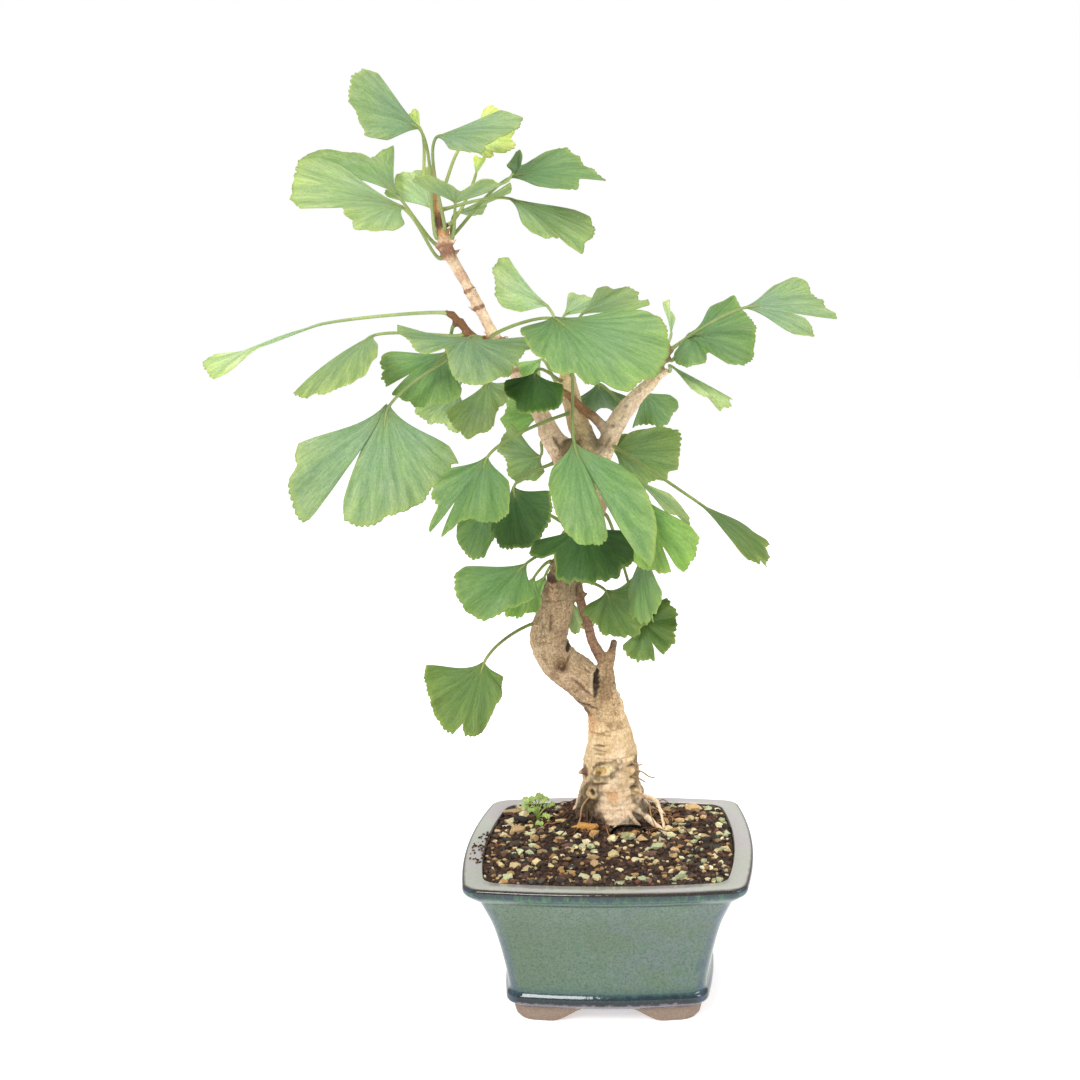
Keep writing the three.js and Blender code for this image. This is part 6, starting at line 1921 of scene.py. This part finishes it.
@dataclass
class Weed:
    """A clover-like seedling in the soil, left of the trunk."""

    tissue: bpy.types.Material
    x: float = -41.0
    y: float = 33.0
    leaflet: float = 2.3
    thick: float = 0.25
    seed: int = 5
    tint: str = "cbe078"
    heads: tuple[Point, ...] = (  # where each leaf sits, from the crown
        (-6, -3, 13), (-1, -5, 14.5), (4, -2, 12.5), (7, 1, 9), (-4, 3, 11), (1, 4, 13), (-7, 1, 8),
        (5, -6, 5), (2, -9, 1.8), (-3, -7, 8.5),
    )

    def leaflets(self, head: np.ndarray, draw: random.Random) -> list[bpy.types.Mesh]:
        """Three round leaflets about one leaf's head."""
        made = []
        spin = draw.uniform(0, math.tau)
        for lobe in range(3):
            mesh = unit_grid("leaflet", 12, 6)
            flat = coordinates(mesh)
            angle = (flat[:, 0] - 0.5) * math.radians(150)
            notch = 1 - 0.25 * np.exp(-((angle / 0.25) ** 2))
            reach = self.leaflet * draw.uniform(0.85, 1.15) * (0.05 + 0.95 * flat[:, 1]) * notch
            turn = spin + lobe * math.tau / 3 + angle * 0.75
            lift = 0.16 * reach**2 * np.cos(2.4 * angle) - 0.2 * reach
            points = np.column_stack([reach * np.cos(turn), reach * np.sin(turn), lift])
            tilt = np.array(Matrix.Rotation(draw.uniform(0.2, 0.6), 3, "X"))
            move_points(mesh, head + points @ tilt.T)
            thicken(mesh, self.thick)
            made.append(mesh)
        return made

    def build(self) -> bpy.types.Object:
        """Makes the seedling and places it."""
        draw = random.Random(self.seed)
        root = np.array([self.x, self.y, 71.5])
        crown = np.array([self.x, self.y, 78.3])
        meshes = [tube("stem", np.linspace(root, crown, 6), np.full(6, 0.6), 8)]
        for head in self.heads:
            end = crown + np.array(head)
            knee = crown + np.array(head) * (0.35, 0.35, 0.7)
            path = bezier((crown, crown + (0, 0, 0.3 * head[2]), knee, end), 10)
            meshes.append(tube("stem", path, np.linspace(0.42, 0.28, 10), 6))
            meshes += self.leaflets(end, draw)
        for mesh in meshes:
            put_vectors(mesh, "tint", np.array(linear(self.tint)) * draw.uniform(0.8, 1.2))
            put_vectors(mesh, "fan", (0, 0, 0))
        return add_piece("weed_seedling", join("weed", meshes), [self.tissue], ["weed"])


@dataclass
class AnchorWire:
    """The dark wire that holds the root ball down, seen as a low arc at the trunk's foot."""

    metal: bpy.types.Material
    start: Point = (0.0, 14.0, 71.0)
    top: Point = (9.0, 12.0, 82.4)
    end: Point = (19.0, 14.0, 71.0)
    radius: float = 0.8

    def shoulder(self, end: Point, share: float, drop: float) -> Point:
        """A point of the arc between one end and the top.

        Args:
            end: the end.
            share: how far it lies from the end towards the top, seen from above.
            drop: how far it lies under the top.

        Returns:
            The point.
        """
        x, y = (near + (far - near) * share for near, far in zip(end[:2], self.top[:2]))
        return x, y, self.top[2] - drop

    def build(self) -> bpy.types.Object:
        """Makes the wire and places it."""
        places = [
            self.start, self.shoulder(self.start, 0.0, 5), self.shoulder(self.start, 0.35, 1.2),
            self.top, self.shoulder(self.end, 0.35, 1.2), self.shoulder(self.end, 0.0, 5), self.end,
        ]
        mesh = limb_tube("anchor_wire", tuple((*place, self.radius) for place in places), 60, 14)
        return add_piece("root_anchor_wire", mesh, [self.metal], ["anchor_wire"])


# ---------------------------------------------------------------- studio


WHITE = (1.0, 1.0, 1.0)


@dataclass(frozen=True)
class Lamp:
    """One soft square lamp.

    Args:
        name: its name.
        place: where it hangs, in metres about the plant.
        size: the width of its square.
        power: its power, in watts.
    """

    name: str
    place: Point
    size: float
    power: float


@dataclass
class Studio:
    """Pale floor, soft light and the camera at the plant's front."""

    aim: Point = (0.0, 0.0, 0.2)
    image: float = 1080.0
    focal_pixels: float = 1590.0
    centre_pixel: float = 677.0
    sensor: float = 36.0
    eye: Point = (35.0, -801.0, 363.5)
    pitch: float = 8.88
    floor_radius: float = 6.0
    floor_glow: float = 0.5
    room_light: float = 0.6
    lamps: tuple[Lamp, ...] = (
        Lamp("front_box", (-0.55, -1.5, 1.35), 0.8, 28.0),
        Lamp("right_box", (1.5, -0.7, 0.9), 0.6, 8.0),
        Lamp("top_box", (0.2, 0.3, 1.9), 1.0, 14.0),
    )

    def camera(self) -> None:
        """Adds the camera."""
        lens = bpy.data.cameras.new("camera")
        lens.sensor_width = self.sensor
        lens.lens = self.sensor * self.focal_pixels / self.image
        lens.shift_x = -(self.centre_pixel - self.image / 2) / self.image
        lens.clip_start = 0.01
        eye = bpy.data.objects.new("camera", lens)
        eye.location = PLACE @ Vector(self.eye)
        eye.rotation_euler = (math.radians(90 - self.pitch), 0.0, 0.0)
        bpy.context.scene.collection.objects.link(eye)
        bpy.context.scene.camera = eye

    def light(self, lamp: Lamp) -> None:
        """Adds one soft square lamp."""
        light = bpy.data.lights.new(lamp.name, "AREA")
        light.size = lamp.size
        light.energy = lamp.power
        box = bpy.data.objects.new(lamp.name, light)
        box.location = lamp.place
        box.rotation_euler = (Vector(self.aim) - Vector(lamp.place)).to_track_quat("-Z", "Y").to_euler()
        bpy.context.scene.collection.objects.link(box)

    def floor(self) -> None:
        """Adds the floor."""
        bm = bmesh.new()
        bmesh.ops.create_circle(bm, cap_ends=True, segments=64, radius=self.floor_radius)
        mesh = new_mesh("floor", bm)
        material, tree = start_material("matt white paper")
        shader = add(tree, "BsdfPrincipled", named={
            "Base Color": (0.9, 0.9, 0.9), "Roughness": 0.9, "Emission Color": WHITE,
            "Emission Strength": self.floor_glow})
        add(tree, "OutputMaterial", shader)
        mesh.materials.append(material)
        floor = bpy.data.objects.new("floor", mesh)
        bpy.context.scene.collection.objects.link(floor)

    def world(self) -> None:
        """Fills the room with even white light."""
        world = bpy.data.worlds.new("room")
        world.use_nodes = True
        tree = world.node_tree
        tree.nodes.clear()
        seen = add(tree, "LightPath").outputs["Is Camera Ray"]
        room = add(tree, "Background", WHITE, self.room_light)
        backdrop = add(tree, "Background", WHITE, 1.0)
        add(tree, "OutputWorld", add(tree, "MixShader", seen, room, backdrop))
        bpy.context.scene.world = world

    def build(self) -> None:
        """Sets up the studio."""
        self.floor()
        self.world()
        self.camera()
        for lamp in self.lamps:
            self.light(lamp)
        bpy.context.scene.view_settings.view_transform = "Standard"


# ---------------------------------------------------------------- the whole plant


def main() -> None:
    """Builds the pieces in order and reports each of them."""
    logging.basicConfig(level=logging.INFO, format="%(name)s: %(message)s")
    Pot(StonewareGlaze().material()).build()
    Soil(LooseGround().material()).build()
    bark = Bark().material()
    Wood(bark).build()
    Rootlets(bark).build()
    tissue = LeafTissue().material()
    for number, (name, leaf) in enumerate(LEAVES.items()):
        Blade(name, leaf, number, tissue).build()
    Weed(LeafTissue(name="clover leaflet", rib_mm=0.6, patch_mm=4.0).material()).build()
    AnchorWire(PlainFinish("anodised aluminium wire", "1c1c1f", 0.4, 0.6, 1.0).material()).build()
    plastic = PlainFinish("moulded polyethylene mesh", "262a27", 0.55, 0.8).material()
    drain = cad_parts["drain_mesh"]
    drain.data.materials.clear()
    drain.data.materials.append(plastic)
    Studio().build()


if __name__ == "__main__":
    main()
